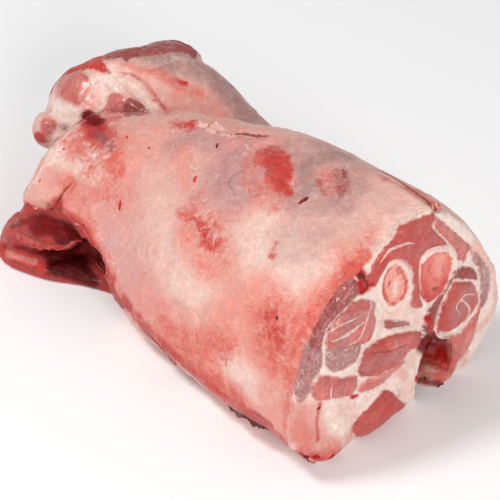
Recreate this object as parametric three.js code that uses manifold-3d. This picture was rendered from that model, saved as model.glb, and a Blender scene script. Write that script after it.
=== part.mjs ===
// Raw lamb neck: one long bone-in cut of two halves side by side, lying on its flat underside.
// Millimetres. +X runs towards the sawn face, -Y to the front and +Z up; z = 0 is the table.

import * as THREE from 'three';
import { mergeVertices } from 'three/addons/utils/BufferGeometryUtils.js';
import Module from 'manifold-3d';

// ---------------------------------------------------------------- driving sizes

const SAW_X = 91; // plane of the sawn face
const SKIN_END_X = -108; // far edge of the skin over the front half
const LOBE_END_X = -155; // where the rear half's free end starts to round off
const TABLE_BITE = 6; // how far a form dips below the table before its base is cut flat
const GAP = 0.3; // clearance between a bone and the meat round it

const LOOKS = {
  meat: { color: 0xd99a90, roughness: 0.55, metalness: 0 },
  bone: { color: 0xf0d9c6, roughness: 0.5, metalness: 0 },
};

// Rings and segments of each grid: near rings cross the near end, far rings the far end.
const DETAIL = {
  body: { segments: 70, along: 27, near: 3, far: 4 },
  lobe: { segments: 40, along: 20, near: 2, far: 5 },
  flap: { segments: 32, along: 15, near: 2, far: 3 },
  cut: { segments: 26, rings: 16 },
  lump: { segments: 20, rings: 14 },
  muscle: { segments: 22, rings: 10 },
  bone: { segments: 40, rings: 4 },
};

// A size that stays the same along x, and one that runs smoothly through [x, size] pairs.
const steady = (size) => () => size;

function profile(...pairs) {
  const last = pairs.length - 1;
  const slope = (k) => {
    if (k === 0 || k === last) return 0;
    return (pairs[k + 1][1] - pairs[k - 1][1]) / (pairs[k + 1][0] - pairs[k - 1][0]);
  };
  return (x) => {
    if (x <= pairs[0][0]) return pairs[0][1];
    if (x >= pairs[last][0]) return pairs[last][1];
    const k = pairs.findIndex(([at]) => at > x) - 1;
    const span = pairs[k + 1][0] - pairs[k][0];
    const t = (x - pairs[k][0]) / span;
    const level = THREE.MathUtils.lerp(pairs[k][1], pairs[k + 1][1], t * t * (3 - 2 * t));
    return level + span * t * (1 - t) * (slope(k) * (1 - t) - slope(k + 1) * t);
  };
}

// A form is followed along x by its section: the crest's height and its place across, the
// front and back sides with the heights of their waists, and the roundness of each quarter,
// where 2 is an ellipse, more is boxier and less is sharper.

// The long body, both halves under one skin.
const BODY = {
  from: SAW_X,
  to: SKIN_END_X,
  bulge: 9,
  crest: profile([-108, 71], [-87, 77], [-66, 86], [-20, 97], [0, 102], [48, 107], [80, 109], [91, 103]),
  crestY: profile([-108, -2], [-95, 4], [-66, 9], [0, 14], [48, 19], [91, 22]),
  front: profile([-108, -52], [-80, -50], [-50, -49], [-20, -54], [20, -57], [60, -60], [91, -61.5]),
  back: profile([-108, 22], [-90, 34], [-50, 60], [0, 71], [60, 73], [84, 74.5], [91, 73]),
  frontWaist: profile([-108, 26], [91, 28]),
  backWaist: profile([-108, 26], [0, 32], [91, 34]),
  frontShoulder: steady(1.9),
  backShoulder: profile([-108, 1.8], [-60, 1.7], [40, 1.45], [91, 1.3]),
  heel: profile([-108, 2.2], [-51, 2.15], [-26, 2.7], [13, 2.85], [50, 2.6], [75, 2.15], [91, 2.25]),
};

// The rear half's free end, which stands out behind the skin's far edge.
const LOBE = {
  from: -12,
  to: LOBE_END_X,
  bulge: 10,
  crest: profile([-155, 68], [-145, 75], [-128, 79], [-105, 79], [-70, 64], [-40, 59], [-12, 54]),
  crestY: profile([-155, 22], [-145, 30], [-115, 50], [-70, 56], [-12, 50]),
  front: profile([-155, -3], [-140, -10], [-110, -6], [-12, 0]),
  back: profile([-155, 56], [-135, 75], [-105, 80], [-60, 75], [-12, 58]),
  frontWaist: profile([-155, 36], [-12, 28]),
  backWaist: profile([-155, 32], [-12, 30]),
  frontShoulder: steady(2),
  backShoulder: steady(1.9),
  heel: profile([-155, 1.6], [-130, 2.2], [-12, 2.4]),
};

// The flap that lies on the table under the far mouth.
const FLAP = {
  from: -38,
  to: -126,
  bulge: 8,
  crest: profile([-126, 13], [-90, 9], [-38, 7]),
  crestY: profile([-126, -30], [-100, -20], [-38, -10]),
  front: profile([-126, -56], [-118, -58], [-108, -56], [-92, -50], [-80, -42], [-62, -34], [-38, -34]),
  back: profile([-126, -10], [-110, 5], [-38, 10]),
  frontWaist: steady(3),
  backWaist: steady(3),
  frontShoulder: steady(2.4),
  backShoulder: steady(2.4),
  heel: steady(2.4),
};

// Bones run from the sawn face into the meat; y and z are a bone's centre.
const BONES = [
  { name: 'neck_bone_front', y: 0.7, z: 75, across: 22, tall: 27, lean: 7, proud: 1.2 },
  { name: 'neck_bone_rear', y: 27.4, z: 68.5, across: 22, tall: 28, lean: 6, proud: 2 },
];
const BONE_DEPTH = 95;

// Muscles that swell out of the sawn face; angle raises a muscle's long way from the table.
const FACE_MUSCLES = [
  { y: -24, z: 60, long: 44, wide: 33, angle: 42, rise: 2.6 },
  { y: -37, z: 63, long: 50, wide: 13, angle: 51, rise: 1.5 },
  { y: 0, z: 39, long: 44, wide: 25, angle: 2, rise: 4.2 },
  { y: -35, z: 38, long: 32, wide: 18, angle: -14, rise: 2 },
  { y: 6, z: 91, long: 42, wide: 15, angle: 10, rise: 1.6 },
  { y: 45, z: 43, long: 44, wide: 29, angle: 60, rise: 3 },
  { y: 59, z: 30, long: 38, wide: 14, angle: 72, rise: 1.6 },
  { y: -8, z: 10, long: 31, wide: 19, angle: 12, rise: 4.6 },
];
const MUSCLE_ROOT = 3; // depth of each swell's middle behind the sawn face

// On the rear lobe the skin stops at an edge, and the bare meat beyond it lies lower.
const SKIN_EDGE = { x: -138, y: 20, blend: 7, step: 3 };

// The rear lobe's far corner is cut off upright; the heading is the cut face's, from +X.
const LOBE_CUT = { heading: 130.6, reach: 124 };

// The mouth under the skin's far edge: a wide recess, a deep hollow and a low one.
const MOUTH = [
  { at: [-84, -67, 18], half: [50, 25, 48] },
  { at: [-70, -50, 14], half: [25, 30, 26] },
  { at: [-98, -46, 10], half: [32, 22, 9] },
];

// The gap between the halves where they meet the table at the sawn face.
const NOTCH = { at: [94, 31, 7], half: [22, 12, 27], turn: -6 };

// Lumps of meat fused on: angles are in degrees.
const LUMPS = {
  mouthMuscle: { at: [-102, -40, 24], half: [18, 10, 10], turn: 20 },
  flapEnd: { at: [-113, -42, 13], half: [17, 14, 11], turn: 11 },
  frontTip: { at: [87, -34, 5], half: [7, 14, 7], tilt: 11 },
  seamKnob: { at: [87, 20, 42], half: [7, 7, 9] },
  notchFloor: { at: [81, 37, 1], half: [12, 11, 6] },
  lobeTrim: { at: [-121, 57, 71], half: [17, 10, 9], turn: 29 },
  lobeTip: { at: [-149, -3, 41], half: [9, 7, 10] },
};

// ---------------------------------------------------------------- shapes

const radians = THREE.MathUtils.degToRad;
const wasm = await Module();
wasm.setup();

function solidOf(geometry) {
  const bare = geometry.clone();
  bare.deleteAttribute('normal');
  bare.deleteAttribute('uv');
  const welded = mergeVertices(bare, 1e-4);
  const mesh = new wasm.Mesh({
    numProp: 3,
    vertProperties: Float32Array.from(welded.attributes.position.array),
    triVerts: Uint32Array.from(welded.index.array),
  });
  return new wasm.Manifold(mesh);
}

// Moves every vertex of a geometry to where place puts it, given the vertex and its uv.
function reshape(geometry, place) {
  const { position, uv } = geometry.attributes;
  const point = new THREE.Vector3();
  for (let i = 0; i < position.count; i += 1) {
    point.fromBufferAttribute(position, i);
    position.setXYZ(i, ...place(point, uv.getX(i), uv.getY(i)));
  }
  return geometry;
}

// Slow swells that keep the long surfaces from looking turned on a lathe.
function swell({ x, y, z }) {
  const long = Math.sin(x / 17 + y / 29) * Math.cos(z / 19 + 0.6);
  const across = Math.sin(y / 13 - x / 31);
  return 1.1 * long + 0.9 * across;
}

// The outline of a form's section at x, at an angle round it from the back side.
function sectionPoint(form, x, turn) {
  const across = Math.cos(turn);
  const up = Math.sin(turn);
  const toFront = across < 0;
  const side = toFront ? form.front(x) : form.back(x);
  const waist = toFront ? form.frontWaist(x) : form.backWaist(x);
  const shoulder = toFront ? form.frontShoulder(x) : form.backShoulder(x);
  const height = up > 0 ? form.crest(x) : -TABLE_BITE;
  const power = 2 / (up > 0 ? shoulder : form.heel(x));
  const y = THREE.MathUtils.lerp(form.crestY(x), side, Math.abs(across) ** power);
  const z = THREE.MathUtils.lerp(waist, height, Math.abs(up) ** power);
  return new THREE.Vector3(x, y, z);
}

function sectionMiddle(form, x) {
  return new THREE.Vector3(x, (form.front(x) + form.back(x)) / 2, (form.crest(x) - TABLE_BITE) / 2);
}

// A closed form from a sphere's grid whose rings cross the near end, run along and cross the
// far end, which bulges. lift raises a surface point away from its section's middle.
function loft(form, { segments, along, near, far }, lift) {
  const rings = near + along + far;
  const grid = new THREE.SphereGeometry(1, segments, rings);
  return reshape(grid, (_, u, v) => {
    const ring = Math.round((1 - v) * rings);
    const step = THREE.MathUtils.clamp((ring - near) / along, 0, 1);
    const x = THREE.MathUtils.lerp(form.from, form.to, step);
    const past = (Math.max(0, ring - near - along) / far) * (Math.PI / 2);
    const reach = Math.min(1, ring / near, Math.cos(past));
    const middle = sectionMiddle(form, x);
    const point = middle.clone().lerp(sectionPoint(form, x, u * 2 * Math.PI), reach);
    const outward = point.clone().sub(middle).setLength(lift(point, reach));
    outward.x = -form.bulge * Math.sin(past);
    return point.add(outward);
  });
}

// A rounded lump from its centre and half sizes, uneven all round, then tilted and turned.
function lump({ at, half, turn = 0, tilt = 0 }, { segments, rings } = DETAIL.lump) {
  const grid = reshape(new THREE.SphereGeometry(1, segments, rings), (point) => {
    const uneven = 0.07 * Math.sin(4 * point.x + 2) * Math.cos(5 * point.y + 3 * point.z);
    return point.multiplyScalar(1 + uneven);
  });
  grid.scale(...half);
  grid.rotateY(radians(tilt));
  grid.rotateZ(radians(turn));
  grid.translate(...at);
  return solidOf(grid);
}

function bodySolid() {
  const lift = (point, reach) => (reach === 1 && point.x < SAW_X - 4 ? swell(point) : 0);
  return solidOf(loft(BODY, DETAIL.body, lift));
}

function lobeSolid() {
  const { smoothstep } = THREE.MathUtils;
  const lift = (point, reach) => {
    const past = Math.max(SKIN_EDGE.x - point.x, SKIN_EDGE.y - point.y) / SKIN_EDGE.blend;
    const level = swell(point) - SKIN_EDGE.step * smoothstep(past, 0, 1);
    return level * smoothstep(reach, 0.1, 0.5);
  };
  const size = 300;
  const cutter = new THREE.BoxGeometry(size, size, size);
  cutter.translate(LOBE_CUT.reach + size / 2, 0, 0);
  cutter.rotateZ(radians(LOBE_CUT.heading));
  return solidOf(loft(LOBE, DETAIL.lobe, lift)).subtract(solidOf(cutter));
}

function flapSolid() {
  return solidOf(loft(FLAP, DETAIL.flap, steady(0)));
}

// One muscle's low swell on the sawn face, as wide there as its sizes say.
function muscleSolid({ y, z, long, wide, angle, rise }) {
  const depth = MUSCLE_ROOT + rise;
  const spread = 1 / Math.sqrt(1 - (MUSCLE_ROOT / depth) ** 2);
  const grid = new THREE.SphereGeometry(1, DETAIL.muscle.segments, DETAIL.muscle.rings);
  grid.rotateZ(Math.PI / 2);
  grid.scale(depth, (spread * long) / 2, (spread * wide) / 2);
  grid.rotateX(radians(angle));
  grid.translate(SAW_X - MUSCLE_ROOT, y, z);
  return solidOf(grid);
}

// An oval bar along x round a bone's axis, from its root in the meat to x = end.
function ovalBar({ y, z, across, tall, lean }, end, clearance) {
  const start = SAW_X - BONE_DEPTH - clearance;
  const { segments, rings } = DETAIL.bone;
  const bar = new THREE.CylinderGeometry(1, 1, end - start, segments, rings);
  bar.rotateZ(Math.PI / 2);
  bar.scale(1, across / 2 + clearance, tall / 2 + clearance);
  bar.rotateX(radians(lean));
  bar.translate((start + end) / 2, y, z);
  return solidOf(bar);
}

const boneSolid = (bone) => ovalBar(bone, SAW_X + bone.proud, 0);
const tunnelSolid = (bone) => ovalBar(bone, SAW_X + 4 * MUSCLE_ROOT, GAP);

function tableSolid() {
  const size = 600;
  const table = new THREE.BoxGeometry(size, size, size);
  table.translate(0, 0, -size / 2);
  return solidOf(table);
}

function meatSolid() {
  let meat = bodySolid();
  for (const hollow of MOUTH) meat = meat.subtract(lump(hollow, DETAIL.cut));
  meat = meat.add(lobeSolid()).add(flapSolid());
  meat = meat.subtract(lump(NOTCH, DETAIL.cut));
  for (const extra of Object.values(LUMPS)) meat = meat.add(lump(extra));
  for (const muscle of FACE_MUSCLES) meat = meat.add(muscleSolid(muscle));
  for (const bone of BONES) meat = meat.subtract(tunnelSolid(bone));
  return meat.subtract(tableSolid());
}

// ---------------------------------------------------------------- the object

function meshOf(name, solid, look) {
  const { vertProperties, triVerts } = solid.getMesh();
  const geometry = new THREE.BufferGeometry();
  geometry.setAttribute('position', new THREE.BufferAttribute(vertProperties, 3));
  geometry.setIndex(new THREE.BufferAttribute(triVerts, 1));
  geometry.computeVertexNormals();
  const mesh = new THREE.Mesh(geometry, new THREE.MeshStandardMaterial(look));
  mesh.name = name;
  return mesh;
}

const neck = new THREE.Group();
neck.add(meshOf('neck_meat', meatSolid(), LOOKS.meat));
for (const bone of BONES) neck.add(meshOf(bone.name, boneSolid(bone), LOOKS.bone));

// The origin is the middle of the footprint, on the table.
const bounds = new THREE.Box3().setFromObject(neck);
const centre = bounds.getCenter(new THREE.Vector3());
neck.position.set(-centre.x, -centre.y, -bounds.min.z);

export default neck;
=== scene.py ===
"""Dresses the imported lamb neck: skin, fat, muscle, sawn bone and torn scraps over the fixed solids."""

import math
from collections import namedtuple

import bpy
import numpy as np
from bpy.props import FloatProperty, FloatVectorProperty, IntProperty, PointerProperty
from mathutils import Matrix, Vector
from mathutils.bvhtree import BVHTree


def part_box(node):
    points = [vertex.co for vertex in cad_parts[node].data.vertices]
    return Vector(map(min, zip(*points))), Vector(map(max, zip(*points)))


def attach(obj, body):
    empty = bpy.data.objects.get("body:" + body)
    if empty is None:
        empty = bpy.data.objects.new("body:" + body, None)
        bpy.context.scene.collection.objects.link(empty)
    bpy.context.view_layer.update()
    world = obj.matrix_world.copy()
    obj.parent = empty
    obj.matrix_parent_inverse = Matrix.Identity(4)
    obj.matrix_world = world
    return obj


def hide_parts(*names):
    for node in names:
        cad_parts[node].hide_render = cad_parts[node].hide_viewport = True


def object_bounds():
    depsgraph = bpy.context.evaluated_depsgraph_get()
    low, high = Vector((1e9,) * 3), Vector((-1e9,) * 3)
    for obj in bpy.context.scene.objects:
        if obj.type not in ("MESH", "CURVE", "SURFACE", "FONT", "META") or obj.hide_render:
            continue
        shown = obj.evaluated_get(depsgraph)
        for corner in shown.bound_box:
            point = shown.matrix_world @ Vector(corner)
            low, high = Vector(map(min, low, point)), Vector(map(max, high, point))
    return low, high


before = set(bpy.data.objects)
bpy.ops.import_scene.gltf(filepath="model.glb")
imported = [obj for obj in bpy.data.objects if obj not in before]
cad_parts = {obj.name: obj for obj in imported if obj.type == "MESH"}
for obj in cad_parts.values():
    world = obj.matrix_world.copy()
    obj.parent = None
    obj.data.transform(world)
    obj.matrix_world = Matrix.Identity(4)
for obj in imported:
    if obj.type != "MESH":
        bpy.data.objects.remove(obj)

bl_info = {
    "name": "Raw Lamb Neck",
    "version": (1, 0, 0),
    "blender": (4, 5, 0),
    "location": "View3D > Sidebar > Lamb Neck",
    "description": "Models and shades a raw bone-in lamb neck round its packed solids",
    "category": "Add Mesh",
}

CAD_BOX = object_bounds()
MM = 0.001
BODY = "root"
BONE_PROUD = 1.2  # mm that the front bone stands out of the sawn face
SAWN_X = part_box("neck_bone_front")[1].x / MM - BONE_PROUD

# ---------------------------------------------------------------- the photographed view

PHOTO_SIZE = 500  # pixels each way
AZIMUTH = math.radians(47)
ELEVATION = math.radians(37)
CAMERA_REACH = 850.0  # mm from the target
FOCAL_PIXELS = 1830.0
TARGET = np.array((34.56, -9.36, 45.0))  # mm
SENSOR_WIDTH = 36.0
PIXEL = CAMERA_REACH / FOCAL_PIXELS  # mm at the target

BACK = np.array((
    math.sin(AZIMUTH) * math.cos(ELEVATION),
    -math.cos(AZIMUTH) * math.cos(ELEVATION),
    math.sin(ELEVATION),
))
RIGHT = np.array((math.cos(AZIMUTH), math.sin(AZIMUTH), 0.0))
UP = np.cross(BACK, RIGHT)
EYE = TARGET + BACK * CAMERA_REACH


def project(points):
    """The photo pixels of points in mm."""
    offset = points - EYE
    depth = -(offset @ BACK)
    across = PHOTO_SIZE / 2 + FOCAL_PIXELS * (offset @ RIGHT) / depth
    down = PHOTO_SIZE / 2 - FOCAL_PIXELS * (offset @ UP) / depth
    return np.stack((across, down), -1)


def pixel_ray(pixel):
    """The direction from the eye through a photo pixel."""
    across = (pixel[0] - PHOTO_SIZE / 2) / FOCAL_PIXELS
    rise = (PHOTO_SIZE / 2 - pixel[1]) / FOCAL_PIXELS
    direction = RIGHT * across + UP * rise - BACK
    return direction / np.linalg.norm(direction)


class Surface:
    """A mesh that photo pixels are dropped onto."""

    def __init__(self, mesh):
        corners = [v.co for v in mesh.vertices]
        self.tree = BVHTree.FromPolygons(corners, [p.vertices for p in mesh.polygons])

    def hit(self, pixel):
        """The point in mm that shows at a pixel and its normal, or the nearest one beside the outline."""
        ray = Vector(pixel_ray(pixel))
        eye = Vector(EYE * MM)
        place, normal, _, _ = self.tree.ray_cast(eye, ray)
        if place is None:
            reach = (Vector(TARGET * MM) - eye).dot(ray)
            place, normal, _, _ = self.tree.find_nearest(eye + ray * reach)
        return np.array(place) / MM, np.array(normal)

    def struck(self, pixel):
        """Whether the surface shows at a pixel."""
        return self.tree.ray_cast(Vector(EYE * MM), Vector(pixel_ray(pixel)))[0] is not None

    def path(self, pixels):
        """The points in mm of a line of pixels."""
        return np.array([self.hit(pixel)[0] for pixel in pixels])

    def shown(self, points, normals):
        """Which points the camera sees."""
        seen = np.zeros(len(points), bool)
        slack = 2.0
        eye = Vector(EYE * MM)
        for i in np.flatnonzero(normals @ BACK > -0.15):
            ray = points[i] - EYE
            reach = np.linalg.norm(ray)
            place, _, _, distance = self.tree.ray_cast(eye, Vector(ray / reach))
            seen[i] = place is None or distance / MM > reach - slack
        return seen


# ---------------------------------------------------------------- numbers over a surface


def smoothstep(low, high, value):
    """0 at low, 1 at high and smooth between; low may be the larger."""
    t = np.clip((value - low) / (high - low), 0, 1)
    return t * t * (3 - 2 * t)


def hashed(place, seed):
    """A repeatable random number from 0 to 1 for each whole-number place."""
    key = place[:, 0] * 73856093 ^ place[:, 1] * 19349663 ^ place[:, 2] * 83492791 ^ seed * 2654435
    key = (key ^ (key >> 13)) * 1274126177 & 0xFFFFFFFF
    return ((key ^ (key >> 16)) & 0xFFFF) / 65535


def noise(points, size, seed=0):
    """Smooth random values from -1 to 1 with features of a size in mm."""
    cell = points / size
    base = np.floor(cell).astype(np.int64)
    part = cell - base
    part = part * part * (3 - 2 * part)
    total = np.zeros(len(points))
    for corner in np.ndindex(2, 2, 2):
        weight = np.prod(np.where(corner, part, 1 - part), axis=1)
        total += weight * (2 * hashed(base + np.array(corner), seed) - 1)
    return total


def ridges(points, size, seed=0):
    """Sharp-crested random wrinkles from 0 to 1 with a spacing in mm."""
    bent = points + np.stack([noise(points, size * 1.6, seed + k) for k in (1, 2, 3)], -1) * size * 0.5
    return 1 - np.minimum(np.abs(noise(bent, size, seed)) * 2.2, 1)


def cells(points, size, seed):
    """The distance in mm to the border between random cells, and each cell's random number."""
    grid = points / size
    base = np.floor(grid).astype(np.int64)
    nearest = np.full(len(points), 9.0)
    second = np.full(len(points), 9.0)
    chosen = np.zeros(len(points))
    for offset in np.ndindex(3, 3, 3):
        place = base + np.array(offset) - 1
        centre = place + 0.15 + 0.7 * np.stack([hashed(place, seed + k) for k in (1, 2, 3)], -1)
        distance = np.linalg.norm(grid - centre, axis=1)
        second = np.minimum(second, np.maximum(nearest, distance))
        closer = distance < nearest
        nearest[closer] = distance[closer]
        chosen[closer] = hashed(place, seed + 9)[closer]
    return (second - nearest) / 2 * size, chosen


def rounded(path, closed=False, cuts=4):
    """A smooth line through given points."""
    points = np.asarray(path, float)
    count = len(points)
    if count < 3:
        return points
    line = []
    for k in range(count if closed else count - 1):
        ends = [(k + s) % count if closed else min(max(k + s, 0), count - 1) for s in (-1, 0, 1, 2)]
        a, b, c, d = points[ends]
        for t in np.arange(cuts) / cuts:
            bend = a - 2.5 * b + 2 * c - d / 2 + t * (1.5 * (b - c) + (d - a) / 2)
            line.append(b + t * ((c - a) / 2 + t * bend))
    if not closed:
        line.append(points[-1])
    return np.array(line)


def line_distance(points, line):
    """How far points are from a line of points, the same signed by side, and how far along it they are."""
    near = np.full(len(points), np.inf)
    side = np.zeros(len(points))
    along = np.zeros(len(points))
    spans = list(zip(line[:-1], line[1:])) or [(line[0], line[0])]
    for k, (a, b) in enumerate(spans):
        run = b - a
        length = run @ run
        t = np.clip((points - a) @ run / length, 0, 1) if length > 0 else np.zeros(len(points))
        offset = points - a - t[:, None] * run
        distance = np.linalg.norm(offset, axis=1)
        closer = distance < near
        near[closer] = distance[closer]
        across = np.cross(run, BACK)
        across /= max(np.linalg.norm(across), 1e-9)
        side[closer] = (offset @ across)[closer]
        along[closer] = ((k + t) / len(spans))[closer]
    return near, side, along


def outline_depth(pixels, outline):
    """How deep pixels lie inside a closed outline; outside it the depth is negative."""
    depth = np.full(len(pixels), np.inf)
    inside = np.zeros(len(pixels), bool)
    x, y = pixels[:, 0], pixels[:, 1]
    for (ax, ay), (bx, by) in zip(outline, np.roll(outline, -1, axis=0)):
        run = np.array((bx - ax, by - ay))
        t = np.clip(((x - ax) * run[0] + (y - ay) * run[1]) / max(run @ run, 1e-9), 0, 1)
        depth = np.minimum(depth, np.hypot(x - ax - t * run[0], y - ay - t * run[1]))
        level = by - ay if by != ay else 1e-9
        inside ^= ((ay > y) != (by > y)) & (x < ax + (y - ay) / level * run[0])
    return np.where(inside, depth, -depth)


# ---------------------------------------------------------------- colours and sizes


def linear(colour):
    """The linear light of a colour picked on screen."""
    colour = np.asarray(colour, float)
    return np.where(colour <= 0.04045, colour / 12.92, ((colour + 0.055) / 1.055) ** 2.4)


def swatch(name, red, green, blue, description):
    """A colour setting, given as 0 to 255 on screen."""
    return FloatVectorProperty(
        name=name, description=description, size=3, min=0, max=1, subtype="COLOR_GAMMA",
        default=(red / 255, green / 255, blue / 255),
    )


class LambNeckColours(bpy.types.PropertyGroup):
    """The tissue colours, as they look on screen."""

    cream: swatch("Cream", 245, 208, 194, "Thick clean fat")
    white_fat: swatch("White fat", 253, 226, 214, "Cut fat on the sawn face")
    pale: swatch("Pale", 232, 180, 167, "Thin fat under the skin")
    pink: swatch("Pink", 230, 148, 138, "Skin with meat close below")
    salmon: swatch("Salmon", 236, 146, 130, "Skin warmed by blood below")
    lilac: swatch("Lilac", 228, 166, 164, "Cool pink skin")
    coral: swatch("Coral", 224, 106, 92, "Skin stained by fresh blood")
    red: swatch("Red", 204, 62, 54, "Bare red muscle and strong stains")
    # clot is clotted blood; in the notch it also stands for painted shade
    clot: swatch("Clot", 122, 0, 4, "Clotted blood")
    blood: swatch("Blood", 190, 12, 12, "Wet bright blood")
    mauve: swatch("Mauve", 190, 134, 134, "Bruise under the skin")
    # grey is silvery membrane over muscle; on the rear half's top it also stands for painted sheen
    grey: swatch("Grey", 174, 130, 125, "Silvery membrane over muscle")
    muscle: swatch("Muscle", 197, 88, 81, "Cut lean meat")
    rose: swatch("Rose", 212, 108, 98, "Paler cut lean meat")
    # deep is dark cut lean meat; along the lower edge it also stands for painted shade
    deep: swatch("Deep", 158, 68, 64, "Dark cut lean meat")
    frosted: swatch("Frosted", 174, 114, 111, "Lean meat with fine fat on it")
    # hollow is dark wet meat made darker still by painted shade, for the inside of the mouth and the notch
    hollow: swatch("Hollow", 86, 2, 4, "Wet dark meat inside the mouth")
    wall: swatch("Wall", 186, 62, 56, "Torn meat round the mouth")
    fascia: swatch("Fascia", 246, 218, 210, "White seams between muscles")
    bone_core: swatch("Bone core", 242, 158, 140, "Spongy middle of the paler bone")
    bone_red: swatch("Bone red", 229, 108, 96, "Spongy middle of the redder bone")
    gristle: swatch("Gristle", 248, 216, 204, "Ring round a bone")


class LambNeckSizes(bpy.types.PropertyGroup):
    """The sizes that set how fine the surface is and how strong its relief."""

    grid: FloatProperty(
        name="Grid", description="Spacing of the surface's points", default=1.3 * MM,
        min=0.8 * MM, max=4 * MM, unit="LENGTH",
    )
    smoothing: IntProperty(
        name="Smoothing", description="Rounds that soften the base form", default=8, min=0, max=40,
    )
    ripple: FloatProperty(
        name="Ripple", description="Height of the skin's slow unevenness", default=0.45 * MM,
        min=0, max=2 * MM, unit="LENGTH",
    )
    camera_lens: FloatProperty(
        name="Lens", description="Focal length that gives the photographed perspective",
        default=FOCAL_PIXELS / PHOTO_SIZE * SENSOR_WIDTH, min=10, max=300, unit="CAMERA",
    )


def colours():
    return bpy.context.scene.lamb_neck_colours


def sizes():
    return bpy.context.scene.lamb_neck_sizes


def tone(name):
    """A tissue colour in linear light."""
    return linear(getattr(colours(), name))


def tone4(name):
    return (*tone(name), 1.0)


# ---------------------------------------------------------------- marks placed on the photo

# A stain is a soft-edged patch along a line of photo pixels; radius and soft are in mm.
Stain = namedtuple("Stain", "path radius soft amount colour")

# Soft tones of the skin, broad ones first, so that later ones lie over them; the rear grey band also holds
# painted sheen.
SKIN_TONES = {
    "middle": Stain(((165, 180), (180, 240), (240, 250), (330, 250), (390, 205)), 14, 16, 0.8, "pale"),
    "near band": Stain(((300, 215), (345, 215), (400, 212)), 6, 10, 0.6, "pale"),
    "right cream": Stain(((262, 262), (285, 258), (310, 268)), 6, 11, 0.75, "cream"),
    "lower cream": Stain(((165, 262), (185, 284)), 5, 10, 0.5, "cream"),
    "tan middle": Stain(((160, 212), (165, 235)), 5, 11, 0.45, "cream"),
    "far shoulder": Stain(((60, 200), (75, 165), (95, 145), (115, 170)), 10, 13, 0.9, "salmon"),
    "far shoulder red": Stain(((76, 172), (88, 160), (102, 142)), 7, 13, 0.75, "coral"),
    "far edge": Stain(((33, 196), (48, 172), (68, 140)), 3, 6, 0.6, "pale"),
    "crest salmon": Stain(((130, 130), (165, 140), (190, 128)), 7, 11, 0.55, "salmon"),
    "crest tan": Stain(((186, 142), (210, 142), (236, 150)), 7, 10, 0.75, "mauve"),
    "under the crest": Stain(((186, 160), (190, 178)), 5, 8, 0.8, "salmon"),
    "crest pale": Stain(((200, 160), (212, 168)), 3, 6, 0.6, "pale"),
    "shoulder pink": Stain(((95, 200), (110, 225), (120, 262), (140, 296)), 8, 12, 0.8, "pink"),
    "shoulder lilac": Stain(((112, 240), (128, 268)), 5, 10, 0.6, "lilac"),
    "back of the crest": Stain(((240, 150), (265, 160), (275, 195), (245, 205)), 8, 12, 0.75, "pink"),
    "silver surround": Stain(((300, 150), (330, 150), (350, 185), (300, 200)), 7, 10, 0.6, "grey"),
    "upper middle mauve": Stain(((208, 186), (238, 196), (250, 180)), 5, 9, 0.6, "mauve"),
    "lower side": Stain(((150, 320), (190, 355), (230, 395), (265, 425)), 6, 12, 0.85, "salmon"),
    "lower side red": Stain(((145, 325), (185, 365), (225, 400), (255, 425)), 3, 8, 0.8, "coral"),
    "side salmon": Stain(((185, 335), (210, 340), (238, 325)), 7, 10, 1.0, "salmon"),
    "middle cream": Stain(((250, 268), (268, 278), (290, 288)), 4.5, 7, 0.8, "cream"),
    "wide cream": Stain(((250, 232), (270, 240), (262, 222)), 5, 9, 0.8, "cream"),
    "low middle cream": Stain(((180, 284), (198, 294)), 4, 7, 0.7, "cream"),
    "middle salmon": Stain(((184, 238), (206, 262), (228, 272)), 4, 8, 0.7, "salmon"),
    "middle grey": Stain(((282, 240), (300, 246), (318, 240)), 5, 8, 0.35, "grey"),
    "front cream": Stain(((229, 362), (242, 374), (258, 390)), 4.5, 7, 0.9, "cream"),
    "front salmon": Stain(((268, 395), (282, 420), (288, 440)), 5, 8, 0.7, "salmon"),
    "near side": Stain(((255, 300), (275, 325), (280, 355)), 8, 12, 0.9, "salmon"),
    "rim coral": Stain(((292, 385), (297, 345), (311, 313), (328, 292), (345, 275)), 5, 8, 0.8, "salmon"),
    "near the peak": Stain(((345, 255), (362, 262), (372, 240)), 5, 8, 0.7, "salmon"),
    "rim cream": Stain(((372, 262), (392, 228), (425, 208)), 2.5, 4, 0.7, "cream"),
    "bruise": Stain(((232, 162), (238, 186)), 6, 8, 0.8, "mauve"),
    "silver": Stain(((304, 168), (320, 158), (346, 156)), 4, 4, 1.0, "grey"),
    "silver low": Stain(((305, 172), (308, 190)), 3.5, 4, 0.9, "grey"),
    "second muscle": Stain(((327, 176), (334, 188)), 4.8, 3, 0.75, "rose"),
    "second muscle gap": Stain(((341, 170), (342, 192)), 0.6, 1.2, 0.6, "pink"),
    "lilac under": Stain(((338, 203), (348, 206)), 3, 4, 0.6, "mauve"),
    "far band": Stain(((385, 178), (415, 192), (440, 212)), 2, 3, 0.8, "muscle"),
    "far band pale": Stain(((420, 186), (455, 215), (480, 250), (494, 290)), 3, 4, 0.75, "pale"),
    # partly greyish see-through membrane, partly painted sheen where light from above glances off the rear
    # half's top
    "rear grey": Stain(((150, 58), (195, 68), (222, 84), (256, 122)), 7, 6, 1.0, "grey"),
    "rear coral band": Stain(((112, 62), (140, 66), (170, 80), (200, 94)), 2, 4, 0.75, "coral"),
    "rear pale": Stain(((112, 72), (130, 80), (142, 92), (155, 106)), 3.5, 3.5, 1.0, "cream"),
    "rear roll pale": Stain(((150, 84), (165, 96), (185, 108), (205, 116)), 3, 4, 0.7, "pale"),
    "rear pale edge": Stain(((105, 63), (125, 60), (150, 66)), 1.5, 3, 0.7, "pale"),
    "rear low coral": Stain(((180, 100), (215, 118), (240, 128)), 3, 5, 0.7, "salmon"),
}
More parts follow.
